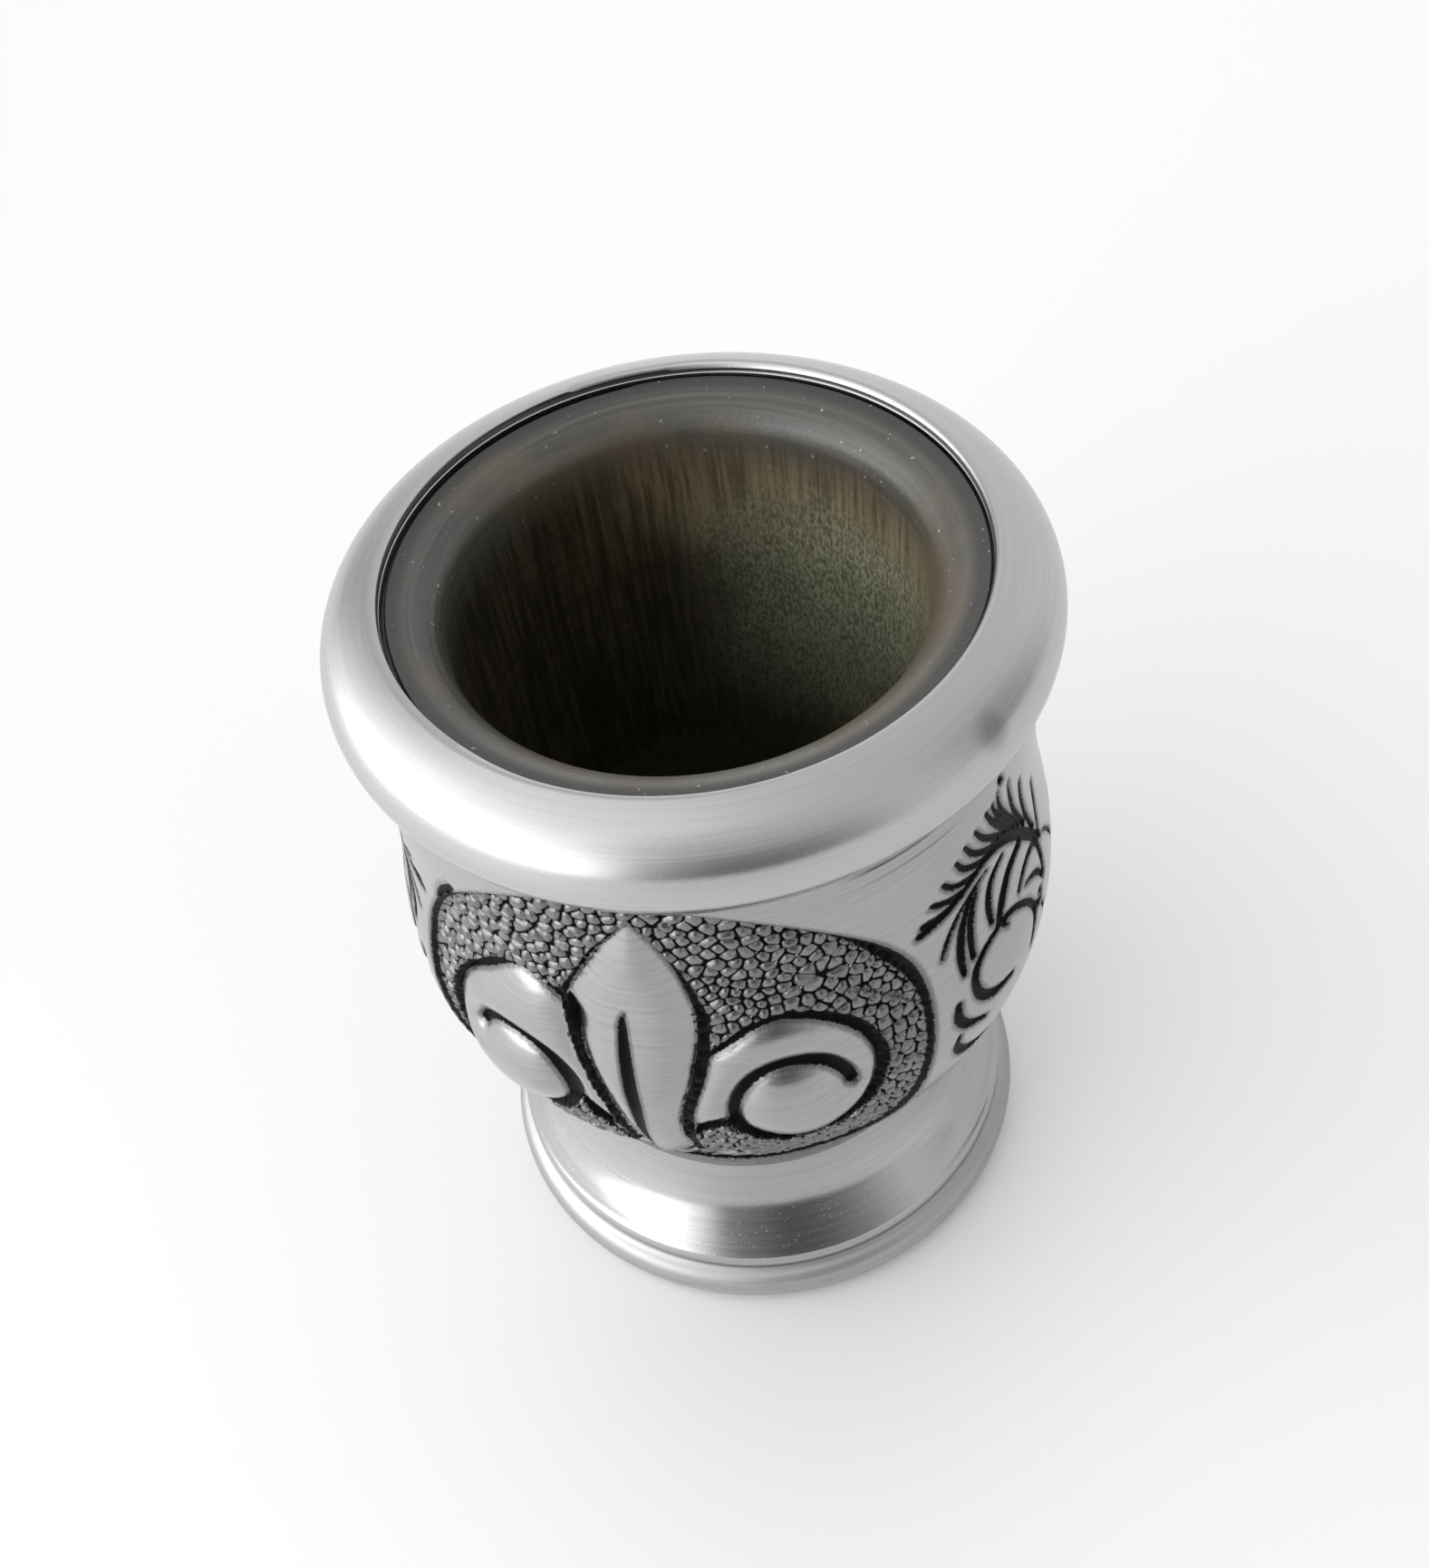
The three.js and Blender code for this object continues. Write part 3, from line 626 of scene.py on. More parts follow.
# Chisel strokes: across, height and width
fleurStrokes = [
    [(-0.3, 75, 0.2), (-0.7, 73, 1), (-0.9, 68, 1.5), (-0.9, 63, 1.7), (-0.8, 58, 1.6), (-1, 52, 1.2),
     (-1.1, 47, 0.8), (-1.1, 44.8, 0.3)],
    [(-10, 44.2, 0.8), (-3, 43.7, 1.2), (3, 43.7, 1.2), (10, 44.2, 0.8)],
    [(0.8, 88.2, 0.5), (-2.2, 84.6, 0.6), (-4.6, 80.6, 0.6), (-7, 76.2, 0.7), (-8.3, 73.6, 1.2)],
    [(-9.4, 74.4, 1), (-8.3, 72.9, 2.2), (-7.5, 71, 2), (-7.4, 67, 1.3), (-6.5, 62, 1.3),
     (-5.2, 57, 1.2), (-4.2, 52, 1.1), (-3.5, 47, 1), (-3.3, 43, 0.8)],
    [(1.6, 88.8, 0.5), (4, 85.2, 0.8), (5.9, 80.8, 1), (7, 76.6, 1.2), (8, 73, 1.5)],
    [(7.7, 73, 1.4), (7.6, 69, 1.5), (7, 65, 1.6), (6.2, 61.5, 1.5), (5.1, 58, 1.4), (4.4, 54.5, 1.5),
     (4.2, 50, 1.6), (4.5, 45, 1.5), (5.4, 41.8, 1.3)],
    [(8.4, 67, 1.2), (10.1, 68.6, 1.7), (12.5, 70.5, 2), (15.3, 71.5, 2.2), (17.9, 71, 2.2),
     (20.5, 69.6, 2.1), (22.8, 67.4, 1.9), (24.6, 64.7, 1.5), (25.8, 61, 1.3), (25.7, 57.5, 1),
     (24.8, 54, 0.8), (22.8, 50.4, 0.8), (20, 48, 0.7), (17, 47.2, 0.7), (14, 48.2, 0.9), (11.8, 50, 1)],
    [(22.8, 57.4, 1.4), (22.3, 59.6, 1.5), (20.6, 62.2, 1.6), (18.2, 63.5, 1.6), (15.5, 63.7, 1.5),
     (12.8, 62.5, 1.5), (10.9, 60, 1.5), (10, 57, 1.4), (10, 54, 1.3), (10.8, 51.6, 1.2),
     (12.2, 49.9, 1)],
    [(9.6, 54.4, 0.6), (7.2, 53.4, 0.8), (5.1, 51.8, 0.8)],
    [(-8.8, 72.5, 1.4), (-11, 74.2, 1.5), (-14, 74.9, 1.6), (-16.8, 73.4, 1.7), (-19.2, 71.1, 1.6),
     (-21.8, 68.6, 1.1), (-24, 65.6, 0.8), (-25.5, 61.8, 0.8), (-26.3, 58, 0.8), (-26.3, 54, 0.8),
     (-25.1, 50, 0.8), (-22.6, 47.2, 0.8), (-19, 46, 0.8), (-15.4, 46.8, 0.8), (-12.4, 49.2, 0.9)],
    [(-22, 59.3, 1.3), (-20.6, 61.4, 1.4), (-18, 62.6, 1.5), (-15, 62.6, 1.8), (-12.2, 61.4, 2.4),
     (-10.4, 59.2, 2.9), (-9.6, 56.8, 2.8), (-9.8, 54.4, 2), (-10.8, 51.8, 1.4), (-12.4, 49.4, 1)],
    [(-8.4, 54.4, 0.8), (-6.8, 51.8, 0.9), (-5, 48.6, 0.9), (-4.2, 45, 0.9)],
    [(-10, 40.2, 0.9), (0, 39.7, 0.9), (10, 40.2, 0.9)],
    [(3.3, 39.8, 0.8), (3.4, 36, 0.9), (2.2, 32.6, 0.8), (0, 29.4, 0.6), (-2.2, 32.6, 0.8),
     (-3.4, 36, 0.9), (-3.3, 39.8, 0.8)],
    [(8.4, 39.8, 0.8), (9.6, 37.6, 0.8), (11.6, 36.2, 0.8), (15.4, 35.3, 0.6), (12.2, 32.9, 0.8),
     (8.4, 32.2, 0.8), (5.2, 34, 0.8)],
    [(21.5, 73.6, 0.2), (24, 71.6, 0.4), (26.4, 69.2, 0.4), (29.4, 65.2, 0.2)],
]
rightTailStroke = fleurStrokes[-2]
fleurStrokes.append([(-x, z, width) for x, z, width in rightTailStroke])
rimStrokes = [  # just outside the oval
    [(-24.1, 74.4, 0.3), (-22.9, 77.4, 1.2), (-21.2, 80.6, 1.5), (-19.6, 83, 0.8)],
]
leafStrokes = [
    [(-24, 74.4, 1.2), (-21.5, 74.8, 1.3), (-18.5, 75.7, 1.2), (-15, 76.9, 1), (-11.6, 76.2, 1.4),
     (-8.6, 74, 1.6), (-5.8, 71, 1.7), (-3.4, 68, 1.5), (-1.2, 65.6, 1)],
    [(-23.6, 75.5, 0.9), (-21.4, 75.3, 0.9), (-19, 75.6, 0.7)],
    [(-22.4, 77.8, 0.8), (-20.8, 76.6, 1), (-18.6, 76, 1)],
    [(-21, 79.8, 0.7), (-19.6, 77.9, 0.9), (-17, 76.8, 1.1), (-15, 76.8, 1)],
    [(-19.3, 81.6, 0.6), (-18.2, 79.4, 0.9), (-15.8, 77.7, 1.1), (-13.4, 77, 1.1)],
    [(-18.1, 82.9, 0.6), (-16.8, 80.4, 0.9), (-14.6, 78.4, 1.1), (-12, 77, 1.2)],
    [(-16.5, 83.7, 0.6), (-15.2, 81.2, 0.9), (-13, 78.8, 1.1), (-10.6, 76.6, 1.2)],
    [(-14.7, 84.7, 0.7), (-13.4, 81.8, 0.9), (-11.4, 78.8, 1.1), (-9.2, 76, 1.2)],
    [(-13.6, 84.9, 0.6), (-12.4, 81.8, 0.8), (-10.4, 78.4, 1), (-8.2, 75, 1.2)],
    [(-12.6, 85.9, 0.4), (-12, 83, 0.7), (-9.8, 78.6, 0.9), (-7, 74, 1.2)],
    [(-10.2, 85, 0.4), (-9.6, 82, 0.7), (-8.2, 77.8, 0.9), (-5.6, 72.6, 1.2)],
    [(-6.8, 81.3, 0.7), (-6, 77.6, 0.9), (-4.6, 72.8, 1), (-3, 69, 1)],
    [(-1.7, 75.6, 0.7), (-1.1, 72, 0.9), (-1.3, 68.6, 0.9), (-1.8, 66, 0.9)],
    [(-12.2, 87.6, 0.9), (-11.8, 86.6, 1)],
    [(-22.5, 68.5, 0.6), (-21.4, 70.6, 0.7), (-19.4, 73, 0.8), (-16.8, 74.6, 0.8), (-14.8, 75.2, 0.6)],
    [(-20.8, 63.9, 0.9), (-20.5, 67, 1.2), (-19.2, 71, 1.2), (-17.4, 73.8, 0.9), (-16, 74.8, 0.5)],
    [(-19.2, 65, 0.9), (-18.7, 68.4, 1.1), (-17.8, 71.4, 1), (-16.4, 74, 0.5)],
    [(-15.5, 66.8, 1), (-15.3, 70, 1.2), (-14, 73, 1.2), (-11.8, 74.2, 0.9)],
    [(-14.6, 65.6, 1.2), (-12.8, 68.4, 1.7), (-10.4, 70.8, 1.7), (-7, 71.7, 1.6)],
    [(-9.9, 65.7, 0.8), (-7.6, 67.2, 1.1), (-5, 67.6, 1.1), (-3.2, 66.6, 1.2), (-2.6, 64, 1.2),
     (-2.6, 60.6, 1)],
    [(-8.4, 65, 0.5), (-6, 64, 0.9), (-4.2, 62.4, 1), (-3, 60.2, 0.8)],
    [(-14.8, 65.2, 1), (-17.4, 64.5, 1.1), (-19.3, 62.9, 1.2), (-19.9, 60.6, 1.3), (-19.2, 58, 1.5),
     (-17, 55.9, 1.6), (-13.6, 54.9, 1)],
    [(-14.6, 65.4, 1.2), (-12, 64.8, 1.1), (-9.6, 63.2, 1.1), (-7.8, 61, 1.2), (-7, 58.4, 1.3),
     (-7.6, 55.6, 1.2), (-8.1, 53.4, 0.8)],
    [(-13.9, 64.6, 0.9), (-13.3, 63.8, 0.7)],
    [(-6.8, 59.4, 1.2), (-5.2, 58.2, 1.2), (-4.4, 59.8, 0.9), (-5.6, 60, 0.7)],
    [(-4.4, 57, 0.7), (-3, 54.6, 0.8), (-1, 52, 0.6), (0, 51.2, 0.6)],
    [(-22.4, 60, 1), (-22.7, 57.8, 1.3), (-21.4, 55, 1.4), (-18.4, 52.7, 0.8)],
    [(-22.5, 54, 0.6), (-22.7, 52, 1.1), (-21.2, 49.2, 1.6), (-18.4, 47, 1.8), (-15.6, 46.4, 0.8)],
]


def smoothLine(points, closed=False, steps=3):  # a smooth line through every point
    if closed:
        padded = points[-1:] + points + points[:2]
    else:
        padded = points[:1] + points + points[-1:]
    line = [padded[1]]
    for spots in zip(padded, padded[1:], padded[2:], padded[3:]):
        for i in range(1, steps + 1):
            t = i / steps
            spot = []
            for p, q, r, s in zip(*spots):
                curl = 2 * p - 5 * q + 4 * r - s + t * (3 * q - p - 3 * r + s)
                spot.append(q + 0.5 * t * (r - p + t * curl))
            line.append(tuple(spot))
    if closed:
        line[-1] = line[0]  # ends exactly where it starts
    return line


def sheetPlaces():
    x = sheet["left"] + sheet["cell"] * np.arange(sheet["columns"])
    z = sheet["low"] + sheet["cell"] * np.arange(sheet["rows"])
    return np.meshgrid(x, z)


def readSheet(field, x, z):  # value of a field at any place on the paper
    column = np.clip((x - sheet["left"]) / sheet["cell"], 0, sheet["columns"] - 1.001)
    row = np.clip((z - sheet["low"]) / sheet["cell"], 0, sheet["rows"] - 1.001)
    i, j = row.astype(int), column.astype(int)
    u, v = row - i, column - j
    upper = field[i + 1, j] * (1 - v) + field[i + 1, j + 1] * v
    return (field[i, j] * (1 - v) + field[i, j + 1] * v) * (1 - u) + upper * u


def strokeField(strokes):  # distance past the nearest stroke's edge, below zero inside, and its half width
    x, z = sheetPlaces()
    past, half = np.full(x.shape, 50.0), np.ones(x.shape)
    for stroke in strokes:
        line = smoothLine(stroke)
        for (ax, az, aw), (bx, bz, bw) in zip(line, line[1:]):
            dx, dz = bx - ax, bz - az
            t = np.clip(((x - ax) * dx + (z - az) * dz) / (dx * dx + dz * dz + 1e-9), 0, 1)
            width = (aw + (bw - aw) * t) / 2
            away = np.hypot(x - ax - t * dx, z - az - t * dz) - width
            half = np.where(away < past, width, half)
            past = np.minimum(past, away)
    return past, np.maximum(half, 0.1)


def outlineField(outlines):  # distance inside the nearest outline, below zero outside all of them
    x, z = sheetPlaces()
    best = np.full(x.shape, -50.0)
    for outline in outlines:
        line = smoothLine(outline, closed=True)
        away, inside = np.full(x.shape, 50.0), np.zeros(x.shape, bool)
        for (ax, az), (bx, bz) in zip(line, line[1:]):
            dx, dz = bx - ax, bz - az
            t = np.clip(((x - ax) * dx + (z - az) * dz) / (dx * dx + dz * dz + 1e-9), 0, 1)
            away = np.minimum(away, np.hypot(x - ax - t * dx, z - az - t * dz))
            crossing = (az > z) != (bz > z)
            inside ^= crossing & (x < ax + (z - az) * dx / (dz if dz else 1e-9))
        best = np.maximum(best, np.where(inside, away, -away))
    return best


def ovalField():  # about the distance inside the medallion's border
    x, z = sheetPlaces()
    across = (x - oval["middle"][0]) / oval["half"][0]
    up = (z - oval["middle"][1]) / oval["half"][1]
    reach = np.maximum(np.hypot(across, up), 1e-6)
    slope = np.hypot(across / oval["half"][0], up / oval["half"][1]) / reach
    return (1 - reach) / slope


def inflate(mask, rounds):  # a soap film over the masked places, as tall as half their width
    film = np.zeros(mask.shape)
    inner = mask[1:-1, 1:-1]
    for i in range(rounds):
        around = film[:-2, 1:-1] + film[2:, 1:-1] + film[1:-1, :-2] + film[1:-1, 2:]
        film[1:-1, 1:-1] = np.where(inner, (around + sheet["cell"] ** 2) / 4, 0)
    return np.sqrt(2 * film)


def soften(field, rounds):  # rubs out creases
    for i in range(rounds):
        field = (field + np.roll(field, 1, 0) + np.roll(field, -1, 0)) / 3
        field = (field + np.roll(field, 1, 1) + np.roll(field, -1, 1)) / 3
    return field


def drawFleur(size):  # hung lower by the drop, since deep cuts seen from above look higher than they are
    drop, crown = size["drop"], size["crown"]
    strokes = [[(x, z - drop, width) for x, z, width in stroke] for stroke in fleurStrokes]
    outlines = [petal, rightLobe, leftLobe, crossBand, middleTail, rightTail, leftTail]
    cut, half = strokeField(strokes)
    rim, rimHalf = strokeField(rimStrokes)
    bound = strokeField(strokes[2:])[0]  # the first two strokes lie across the petal and bound nothing
    body = outlineField([[(x, z - drop) for x, z in outline] for outline in outlines])
    swell = inflate((body > 0) & (bound > 0), size["filmRounds"])
    climb = np.clip(np.minimum(body, bound), 0, crown)
    rise = climb * (1 - 0.5 * climb / crown)
    share = smoothStep((climb - 0.4) / 1.2)
    rubbed = soften(rise, size["rubRounds"])
    rise = rise * (1 - share) + rubbed * share  # crisp beside the cuts, soft on top
    slopeZ, slopeX = np.gradient(cut, sheet["cell"])
    return {"cut": cut, "half": half, "rim": rim, "rimHalf": rimHalf, "body": body, "swell": swell,
            "rise": rise, "oval": ovalField(), "slopeX": slopeX, "slopeZ": slopeZ}


def drawLeaves():  # a scroll whose far half is the near half turned upside down, and its mirror image
    cut, half = strokeField(leafStrokes)
    far = cut[::-1, ::-1] < cut
    half = np.where(far, half[::-1, ::-1], half)
    cut = np.minimum(cut, cut[::-1, ::-1])
    drawings = []
    for seen, width in ((cut, half), (cut[:, ::-1], half[:, ::-1])):
        slopeZ, slopeX = np.gradient(seen, sheet["cell"])
        drawings.append({"cut": seen, "half": width, "slopeX": slopeX, "slopeZ": slopeZ})
    return drawings


def jacketLine(size):  # outside of the jacket from its top edge down to the waist
    neck, belly, waist = cup["neck"], cup["belly"], cup["waist"]
    shoulder, middle, foot = cup["shoulderHeight"], cup["bellyHeight"], size["foot"]
    line = [(neck, size["top"]), (neck, shoulder)]
    span = shoulder - middle
    widest = (belly, middle)
    line += bend(40, line[-1], (neck, shoulder - 0.5 * span), (belly, middle + 0.34 * span), widest)
    span = middle - foot
    line += bend(60, line[-1], (belly, middle - 0.5 * span), (waist, foot + 0.17 * span), (waist, foot))
    return np.array(line)


def radiusAt(line, z):
    return np.interp(z, line[::-1, 1], line[::-1, 0])


def onPaper(points, line, turn):  # across and height on the drawing, the arc length, and which are near it
    angle = np.arctan2(points[:, 0], -points[:, 1]) - math.radians(turn)
    angle = (angle + math.pi) % (2 * math.pi) - math.pi
    radius = radiusAt(line, points[:, 2])
    near = np.abs(angle) < math.radians(sheet["reach"])
    across = np.where(near, radius * np.sin(angle), sheet["away"])
    return across, points[:, 2], radius * angle, near


def onJacket(x, z, line, turn):  # the point of the plain jacket under a place on the drawing
    radius = radiusAt(line, z)
    angle = np.arcsin(np.clip(x / radius, -1, 1)) + math.radians(turn)
    return np.stack([radius * np.sin(angle), -radius * np.cos(angle), z], 1)


def scatterPebbles(size):  # dart throwing with larger gaps in some patches
    darts = np.random.default_rng(size["seed"])
    low, high = size["pebbleGap"]
    pebbles, cells = [], {}
    for across, up, pick in darts.random((size["throws"], 3)):
        x, z = (across * 2 - 1) * size["pebbleHalf"], size["pebbleFoot"] + up * size["pebbleTall"]
        patch = 0.5 + 0.5 * math.sin(0.31 * x + 1.3) * math.sin(0.27 * z + 0.4)
        gap = low + (high - low) * (0.35 * patch + 0.65 * pick * pick)
        column, row = int(x // high), int(z // high)
        near = [p for i in (-1, 0, 1) for j in (-1, 0, 1) for p in cells.get((column + i, row + j), ())]
        if all(math.dist((x, z), p) > gap for p in near):
            cells.setdefault((column, row), []).append((x, z))
            pebbles.append((x, z))
    return pebbles


def pebbleField(arc, z, wanted, pebbles):  # seam and pebble next to each place, and the way over the seam
    finder = KDTree(len(pebbles))
    for i, (x, up) in enumerate(pebbles):
        finder.insert((x, up, 0), i)
    finder.balance()
    seam, near, lot = np.zeros(arc.shape), np.zeros(arc.shape), np.zeros(arc.shape)
    way = np.zeros((len(arc), 2))
    for i in np.nonzero(wanted)[0]:
        (_, first, close), (_, second, far) = finder.find_n((arc[i], z[i], 0), 2)
        gap = math.dist(pebbles[first], pebbles[second])
        seam[i] = (far * far - close * close) / (2 * gap)
        near[i] = close
        lot[i] = (first * 0.61803) % 1
        way[i] = [(b - a) / gap for a, b in zip(pebbles[first], pebbles[second])]
    return seam, near, lot, way


def needOf(points, line, fleur, leaves):  # splits: 0 plain, 1 around, 2 swelling forms, 3 cuts and pebbles
    need = np.zeros(len(points), int)
    for turn in fleurTurns:
        x, z, _, near = onPaper(points, line, turn)
        inOval, cut, body, rim = (readSheet(fleur[k], x, z) for k in ("oval", "cut", "body", "rim"))
        need[near & (inOval > -3.0)] = 1
        need[near & (inOval > -1.4)] = 2
        need[near & (((inOval > -0.6) & ((body < 0.3) | (cut < 0.7))) | (rim < 0.4))] = 3
    for turn, drawing in zip(leafTurns, leaves):
        x, z, _, near = onPaper(points, line, turn)
        cut = readSheet(drawing["cut"], x, z)
        for reach, level in ((2.4, 1), (1.0, 2), (0.4, 3)):
            close = near & (cut < reach)
            need[close] = np.maximum(need[close], level)
    return need


def splitFaces(piece, wanted):  # cuts the wanted faces once each way
    piece.data.polygons.foreach_set("select", wanted)
    bpy.ops.object.select_all(action="DESELECT")
    bpy.context.view_layer.objects.active = piece
    bpy.ops.object.mode_set(mode="EDIT")
    bpy.ops.mesh.select_mode(type="FACE")
    bpy.ops.mesh.subdivide(number_cuts=1)
    bpy.ops.mesh.select_all(action="DESELECT")
    bpy.ops.mesh.select_mode(type="VERT")
    bpy.ops.object.mode_set(mode="OBJECT")


def faceCentres(piece):
    flat = np.empty(len(piece.data.polygons) * 3, np.float32)
    piece.data.polygons.foreach_get("center", flat)
    return flat.reshape(-1, 3).astype(float) / mm


def snapToCuts(points, line, drawing, turn, reach):  # points beside a cut's edge slide onto that edge
    x, z, _, near = onPaper(points, line, turn)
    cut = readSheet(drawing["cut"], x, z)
    beside = near & (np.abs(cut) < reach)
    x, z, cut = x[beside], z[beside], cut[beside]
    slopeX, slopeZ = (readSheet(drawing[k], x, z) for k in ("slopeX", "slopeZ"))
    points[beside] = onJacket(x - cut * slopeX, z - cut * slopeZ, line, turn)


def cutDepth(past, half):  # a round-bottomed gouge
    return smoothStep(0.15 - past / half)


def closeSeams(points, line, turn, arc, z, snug, seam, way):  # moves points onto the seam beside them
    arc[snug] += way[snug, 0] * seam[snug]
    z = np.where(snug, z + way[:, 1] * seam, z)
    angle = arc[snug] / radiusAt(line, points[snug, 2]) + math.radians(turn)
    radius = radiusAt(line, z[snug])
    points[snug] = np.stack([radius * np.sin(angle), -radius * np.cos(angle), z[snug]], 1)
    return z, np.where(snug, 0, seam)


def pebbledGround(size, seam, close, lot):  # height of the ground, and how far inside its pebble a point is
    corner = size["pebbleReach"] - close + size["pebbleSpread"] * lot
    edge = np.minimum(seam, corner) - 0.06 * np.clip(1 - np.abs(seam - corner) / 0.3, 0, 1)
    dome = np.sqrt(1 - (1 - np.clip(edge / size["domeReach"], 0, 1)) ** 2)
    return -size["ground"] + size["pebbleRise"] * dome * (0.6 + 0.4 * lot), edge


def raisedForm(size, line, z, rise, swell):  # height of the petal, lobes and tails
    form = -size["dip"] + size["steep"] * rise + size["swell"] * swell ** 1.5
    room = np.minimum(cup["widest"] - radiusAt(line, z), 0.8)
    return np.where(form > 0, room * (1 - np.exp(-form / room)), form)  # rounds off below the widest ring


def borderWidth(x, z):  # of the cut along the oval
    broad = np.hypot(x - oval["broadAt"][0], z - oval["broadAt"][1]) / oval["reach"]
    return oval["line"] + oval["broad"] * np.exp(-broad ** 2)


def fleurTarnish(size, inOval, cut, body, rim, lot, width):  # darkness of the medallion's points
    fadeOver = size["tarnishFade"]
    borderPast = np.abs(inOval - 0.45 * width) - 0.5 * width
    dark = np.where(body < 0, (0.36 + 0.16 * (lot - 0.5)) * smoothStep(inOval / 0.5), 0)
    dark = np.maximum(dark, 0.5 - cut / fadeOver)
    dark = np.maximum(dark, np.where(body < 0.2, 0.5 - borderPast / fadeOver, 0))
    dark = np.where(inOval > -0.6, dark, 0)
    return np.maximum(dark, np.where(inOval < 0, 0.5 - rim / fadeOver, 0))


def chaseFleur(size, points, line, fleur, pebbles, turn):  # height, darkness and seams of the medallion
    x, z, arc, near = onPaper(points, line, turn)
    inOval, cut, half, body = (readSheet(fleur[k], x, z) for k in ("oval", "cut", "half", "body"))
    swell, rise, rim, rimHalf = (readSheet(fleur[k], x, z) for k in ("swell", "rise", "rim", "rimHalf"))
    bare = near & (inOval > 0.2) & (body < 0.3)
    seam, close, lot, way = pebbleField(arc, z, bare, pebbles)
    snug = bare & (seam < size["seamSnap"]) & (cut > 0.3) & (inOval > 0.8)
    z, seam = closeSeams(points, line, turn, arc, z, snug, seam, way)
    ground, edge = pebbledGround(size, seam, close, lot)
    ground *= smoothStep(inOval / 0.9)
    form = raisedForm(size, line, z, rise, swell)
    share = smoothStep(0.5 + body / 0.5)
    inside = ground * (1 - share) + form * share - size["groove"] * cutDepth(cut, half)
    width = borderWidth(x, z)
    border = np.clip(1 - np.abs(inOval - 0.5 * width) / (0.6 * width), 0, 1)
    inside -= size["border"] * border * (1 - share)
    outside = -size["leafCut"] * cutDepth(rim, rimHalf)
    height = np.where(near, np.where(inOval > 0, inside, outside), 0)
    dark = fleurTarnish(size, inOval, cut, body, rim, lot, width)
    return height, np.where(near, dark, 0), np.where(bare & (inOval > 0.4), edge, 1.0)


def chaseLeaves(size, points, line, drawing, turn):
    x, z, _, near = onPaper(points, line, turn)
    cut, half = (readSheet(drawing[k], x, z) for k in ("cut", "half"))
    height = -size["leafCut"] * cutDepth(cut, half) - size["leafDent"] * smoothStep(1 - cut / 0.6)
    return np.where(near, height, 0), np.where(near, 0.5 - cut / size["tarnishFade"], 0)


def onFace(size, points, line, share):  # which points lie on the outside, not on the inner wall
    return np.hypot(points[:, 0], points[:, 1]) > radiusAt(line, points[:, 2]) - share * size["sheet"]


def plainJacket(size, line):  # the turned shell before it is chased
    along = np.concatenate([[0], np.cumsum(np.hypot(*np.diff(line, axis=0).T))])
    steps = np.linspace(0, along[-1], int(along[-1] / size["row"]) + 1)
    outer = [tuple(float(np.interp(s, along, line[:, k])) for k in (0, 1)) for s in steps]
    inner = []
    for r, z in outer[::-3] + outer[:1]:
        stout = smoothStep((z - size["stoutFoot"]) / 8) * smoothStep((size["stoutTop"] - z) / 6)
        inner.append((r - size["sheet"] - size["stout"] * stout, z))
    return turnPiece("bodyJacket", outer + inner + outer[:1], size["around"])


def makeTriangles(piece):
    bpy.ops.object.select_all(action="DESELECT")
    bpy.context.view_layer.objects.active = piece
    bpy.ops.object.mode_set(mode="EDIT")
    bpy.ops.mesh.select_all(action="SELECT")
    bpy.ops.mesh.quads_convert_to_tris(quad_method="BEAUTY", ngon_method="BEAUTY")
    bpy.ops.mesh.normals_make_consistent(inside=False)
    bpy.ops.object.mode_set(mode="OBJECT")


def makeJacket(size):
    line = jacketLine(size)
    jacket = plainJacket(size, line)
    fleur, leaves = drawFleur(size), drawLeaves()
    for level in (1, 2, 3):
        centres = faceCentres(jacket)
        wanted = onFace(size, centres, line, 0.6) & (needOf(centres, line, fleur, leaves) >= level)
        splitFaces(jacket, wanted)
    points = pointsOf(jacket)
    face = onFace(size, points, line, 0.5)
    front = points[face]
    for turn, drawing in zip(fleurTurns + leafTurns, [fleur, fleur] + leaves):
        snapToCuts(front, line, drawing, turn, size["cutSnap"])
    height, tarnish, seam = np.zeros(len(front)), np.zeros(len(front)), np.ones(len(front))
    pebbles = scatterPebbles(size)
    for turn in fleurTurns:
        more, dark, gap = chaseFleur(size, front, line, fleur, pebbles, turn)
        height, tarnish, seam = height + more, np.maximum(tarnish, dark), np.minimum(seam, gap)
    for turn, drawing in zip(leafTurns, leaves):
        more, dark = chaseLeaves(size, front, line, drawing, turn)
        height, tarnish = height + more, np.maximum(tarnish, dark)
    z, ease = front[:, 2], size["edgeFade"]
    height *= smoothStep((size["top"] - z) / ease) * smoothStep((z - size["foot"]) / ease)
    scale = np.minimum(radiusAt(line, z) + height, cup["widest"]) / np.hypot(front[:, 0], front[:, 1])
    front[:, :2] *= scale[:, None]
    points[face] = front
    movePoints(jacket, points)
    for name, plain, values in (("tarnish", 0.0, tarnish), ("seam", 1.0, seam)):
        marks = np.full(len(points), plain, np.float32)
        marks[face] = np.clip(values, 0, 1)
        jacket.data.attributes.new(name, "FLOAT", "POINT").data.foreach_set("value", marks)
    makeTriangles(jacket)
    return jacket


bodyJacket = makeJacket(jacketSize)
finishPiece(bodyJacket, "body_jacket", chased, 60)

# Floor, lamps, studio and camera
floorLook = {"size": 6.0, "colour": (0.94, 0.94, 0.94), "roughness": 0.5, "ior": 3.5}  # a pale satin board
bpy.ops.object.select_all(action="DESELECT")
bpy.ops.mesh.primitive_plane_add(size=floorLook["size"])
floor = bpy.context.object
floor.name = "floor"
floorMaterial, floorTree, floorShader = newMaterial("paleFloor")
feed(floorTree, floorShader.inputs["Base Color"], floorLook["colour"])
floorShader.inputs["Roughness"].default_value = floorLook["roughness"]
floorShader.inputs["IOR"].default_value = floorLook["ior"]
floor.data.materials.append(floorMaterial)

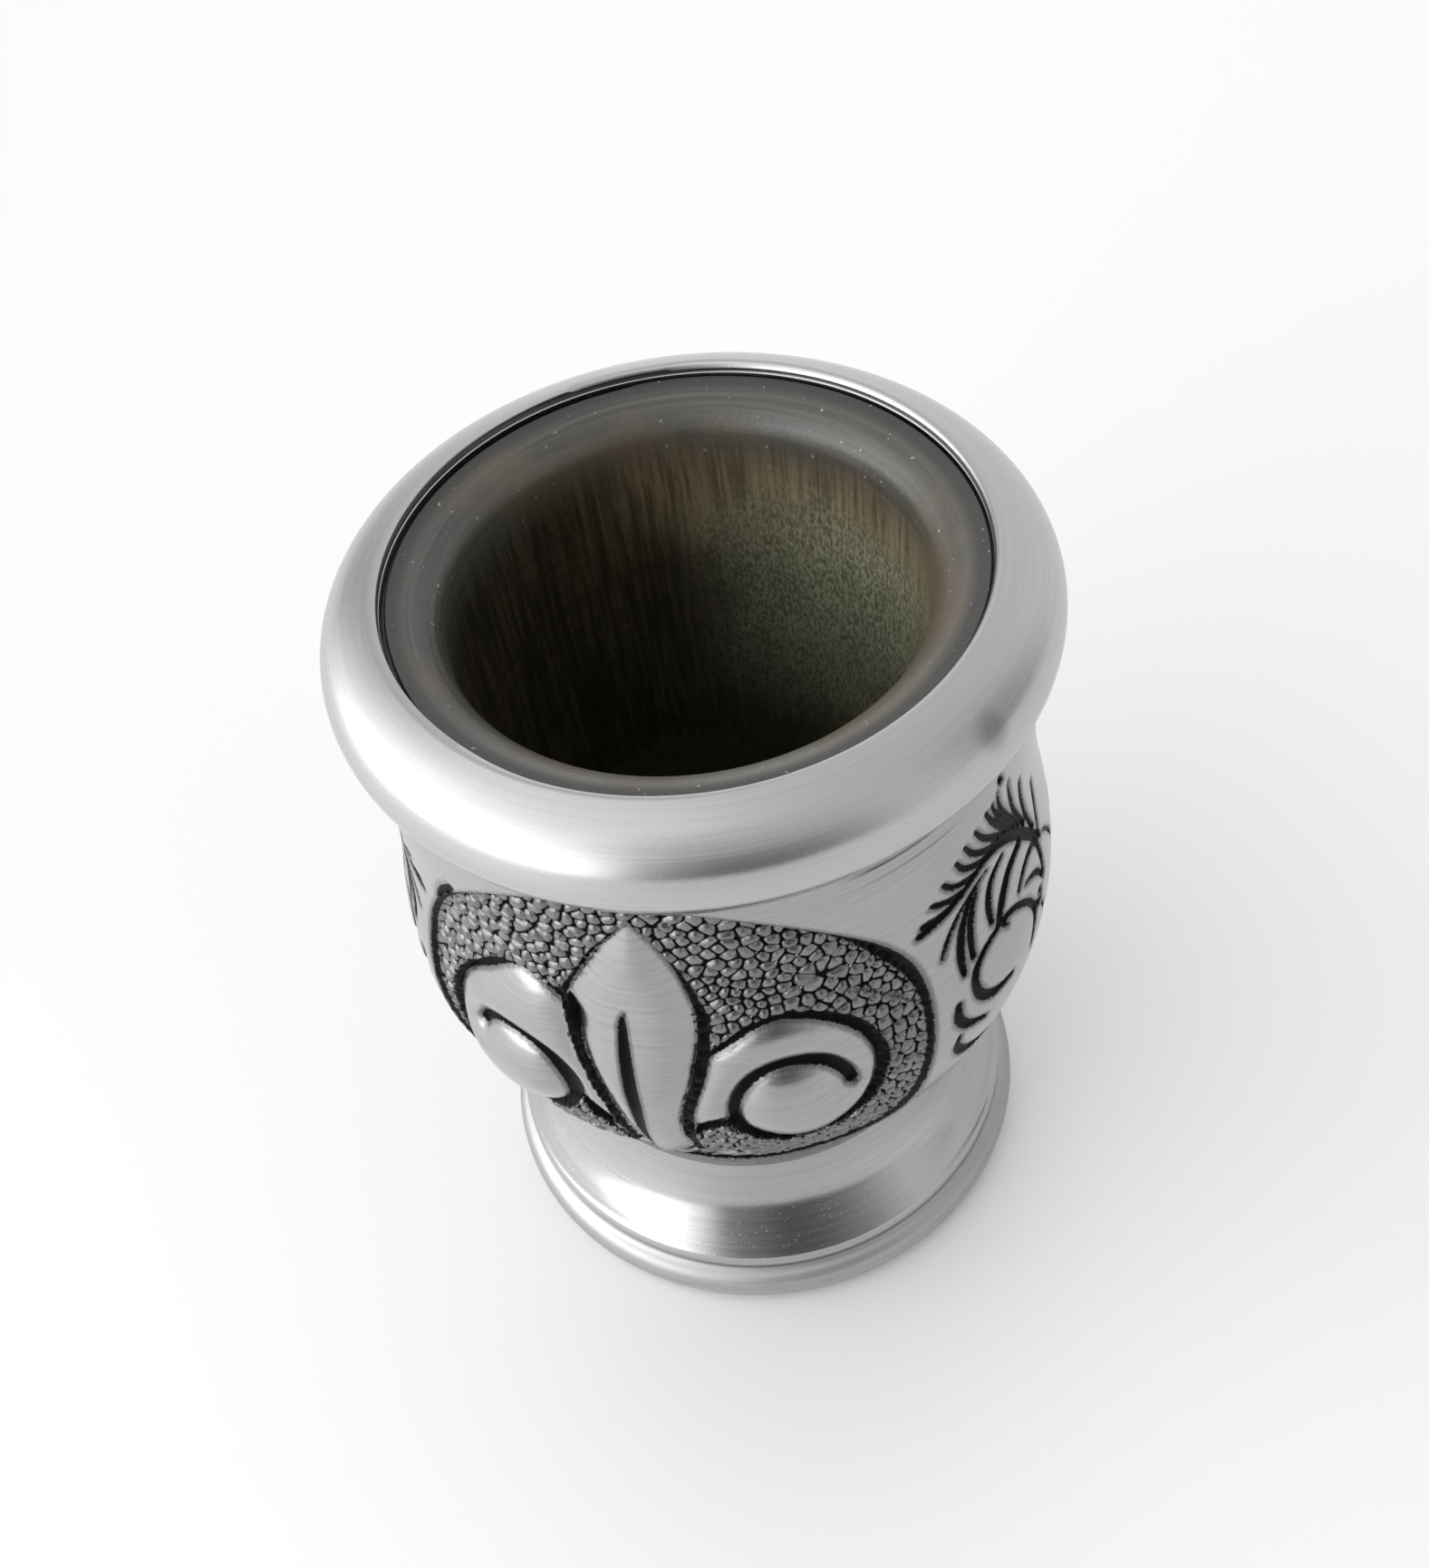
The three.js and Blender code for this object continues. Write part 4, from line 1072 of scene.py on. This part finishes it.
lampLook = {
    "aim": (0, 0, 0.06),
    "windowLamp": {"place": (-1.0, -0.2, 0.25), "size": (1.6, 0.5), "power": 1.55},
    "topLamp": {"place": (-0.5, -0.1, 1.1), "size": (1.0, 1.0), "power": 1.3},
}


def addLamp(name, look):  # a soft window, aimed at the cup
    bpy.ops.object.light_add(type="AREA", location=look["place"])
    lamp = bpy.context.object
    lamp.name = name
    lamp.data.shape = "RECTANGLE"
    lamp.data.size, lamp.data.size_y = look["size"]
    lamp.data.energy = look["power"]
    aim = Vector(lampLook["aim"]) - Vector(look["place"])
    lamp.rotation_euler = aim.to_track_quat("-Z", "Y").to_euler()


for lampName in ("windowLamp", "topLamp"):
    addLamp(lampName, lampLook[lampName])

studioLook = {  # brightness round the horizon, in degrees from the front and positive to the right
    "round": [(-180, 0.35), (-140, 0.14), (-100, 0.96), (-45, 1.0), (-24, 0.12), (0, 0.04), (14, 0.06),
              (28, 0.12), (50, 0.29), (66, 0.25), (85, 0.10), (112, 0.30), (145, 0.29), (180, 0.35)],
    "above": 0.25, "aboveFrom": 0.25, "strength": 3.2,
}
world = bpy.data.worlds.new("studio")
bpy.context.scene.world = world
world.use_nodes = True
studio = world.node_tree
way = setUp(studio, "ShaderNodeTexCoord").outputs["Generated"]
wayParts = setUp(studio, "ShaderNodeSeparateXYZ")
feed(studio, wayParts.inputs[0], way)
turned = sumUp(studio, "ARCTAN2", wayParts.outputs[0], times(studio, wayParts.outputs[1], -1.0))
share = plus(studio, times(studio, turned, 0.5 / math.pi), 0.5)
room = rampOf(studio, share, [(a / 360 + 0.5, grey) for a, grey in studioLook["round"]])
overhead = fade(studio, wayParts.outputs[2], studioLook["aboveFrom"], 1.0)
room = blend(studio, overhead, room, (studioLook["above"],) * 3)
feed(studio, studio.nodes["Background"].inputs["Color"], room)
studio.nodes["Background"].inputs["Strength"].default_value = studioLook["strength"]

cameraLook = {
    "place": (0.0, -0.14226, 0.23090), "turn": (40.4806, 6.0117, -6.8268), "lens": 41.59, "sensor": 36,
    "nearest": 0.01,
}
cameraTurn = [math.radians(a) for a in cameraLook["turn"]]
bpy.ops.object.camera_add(location=cameraLook["place"], rotation=cameraTurn)
camera = bpy.context.object
camera.data.lens = cameraLook["lens"]
camera.data.sensor_width = cameraLook["sensor"]
camera.data.clip_start = cameraLook["nearest"]
bpy.context.scene.camera = camera
bpy.context.scene.view_settings.view_transform = "Standard"
print("stage done")
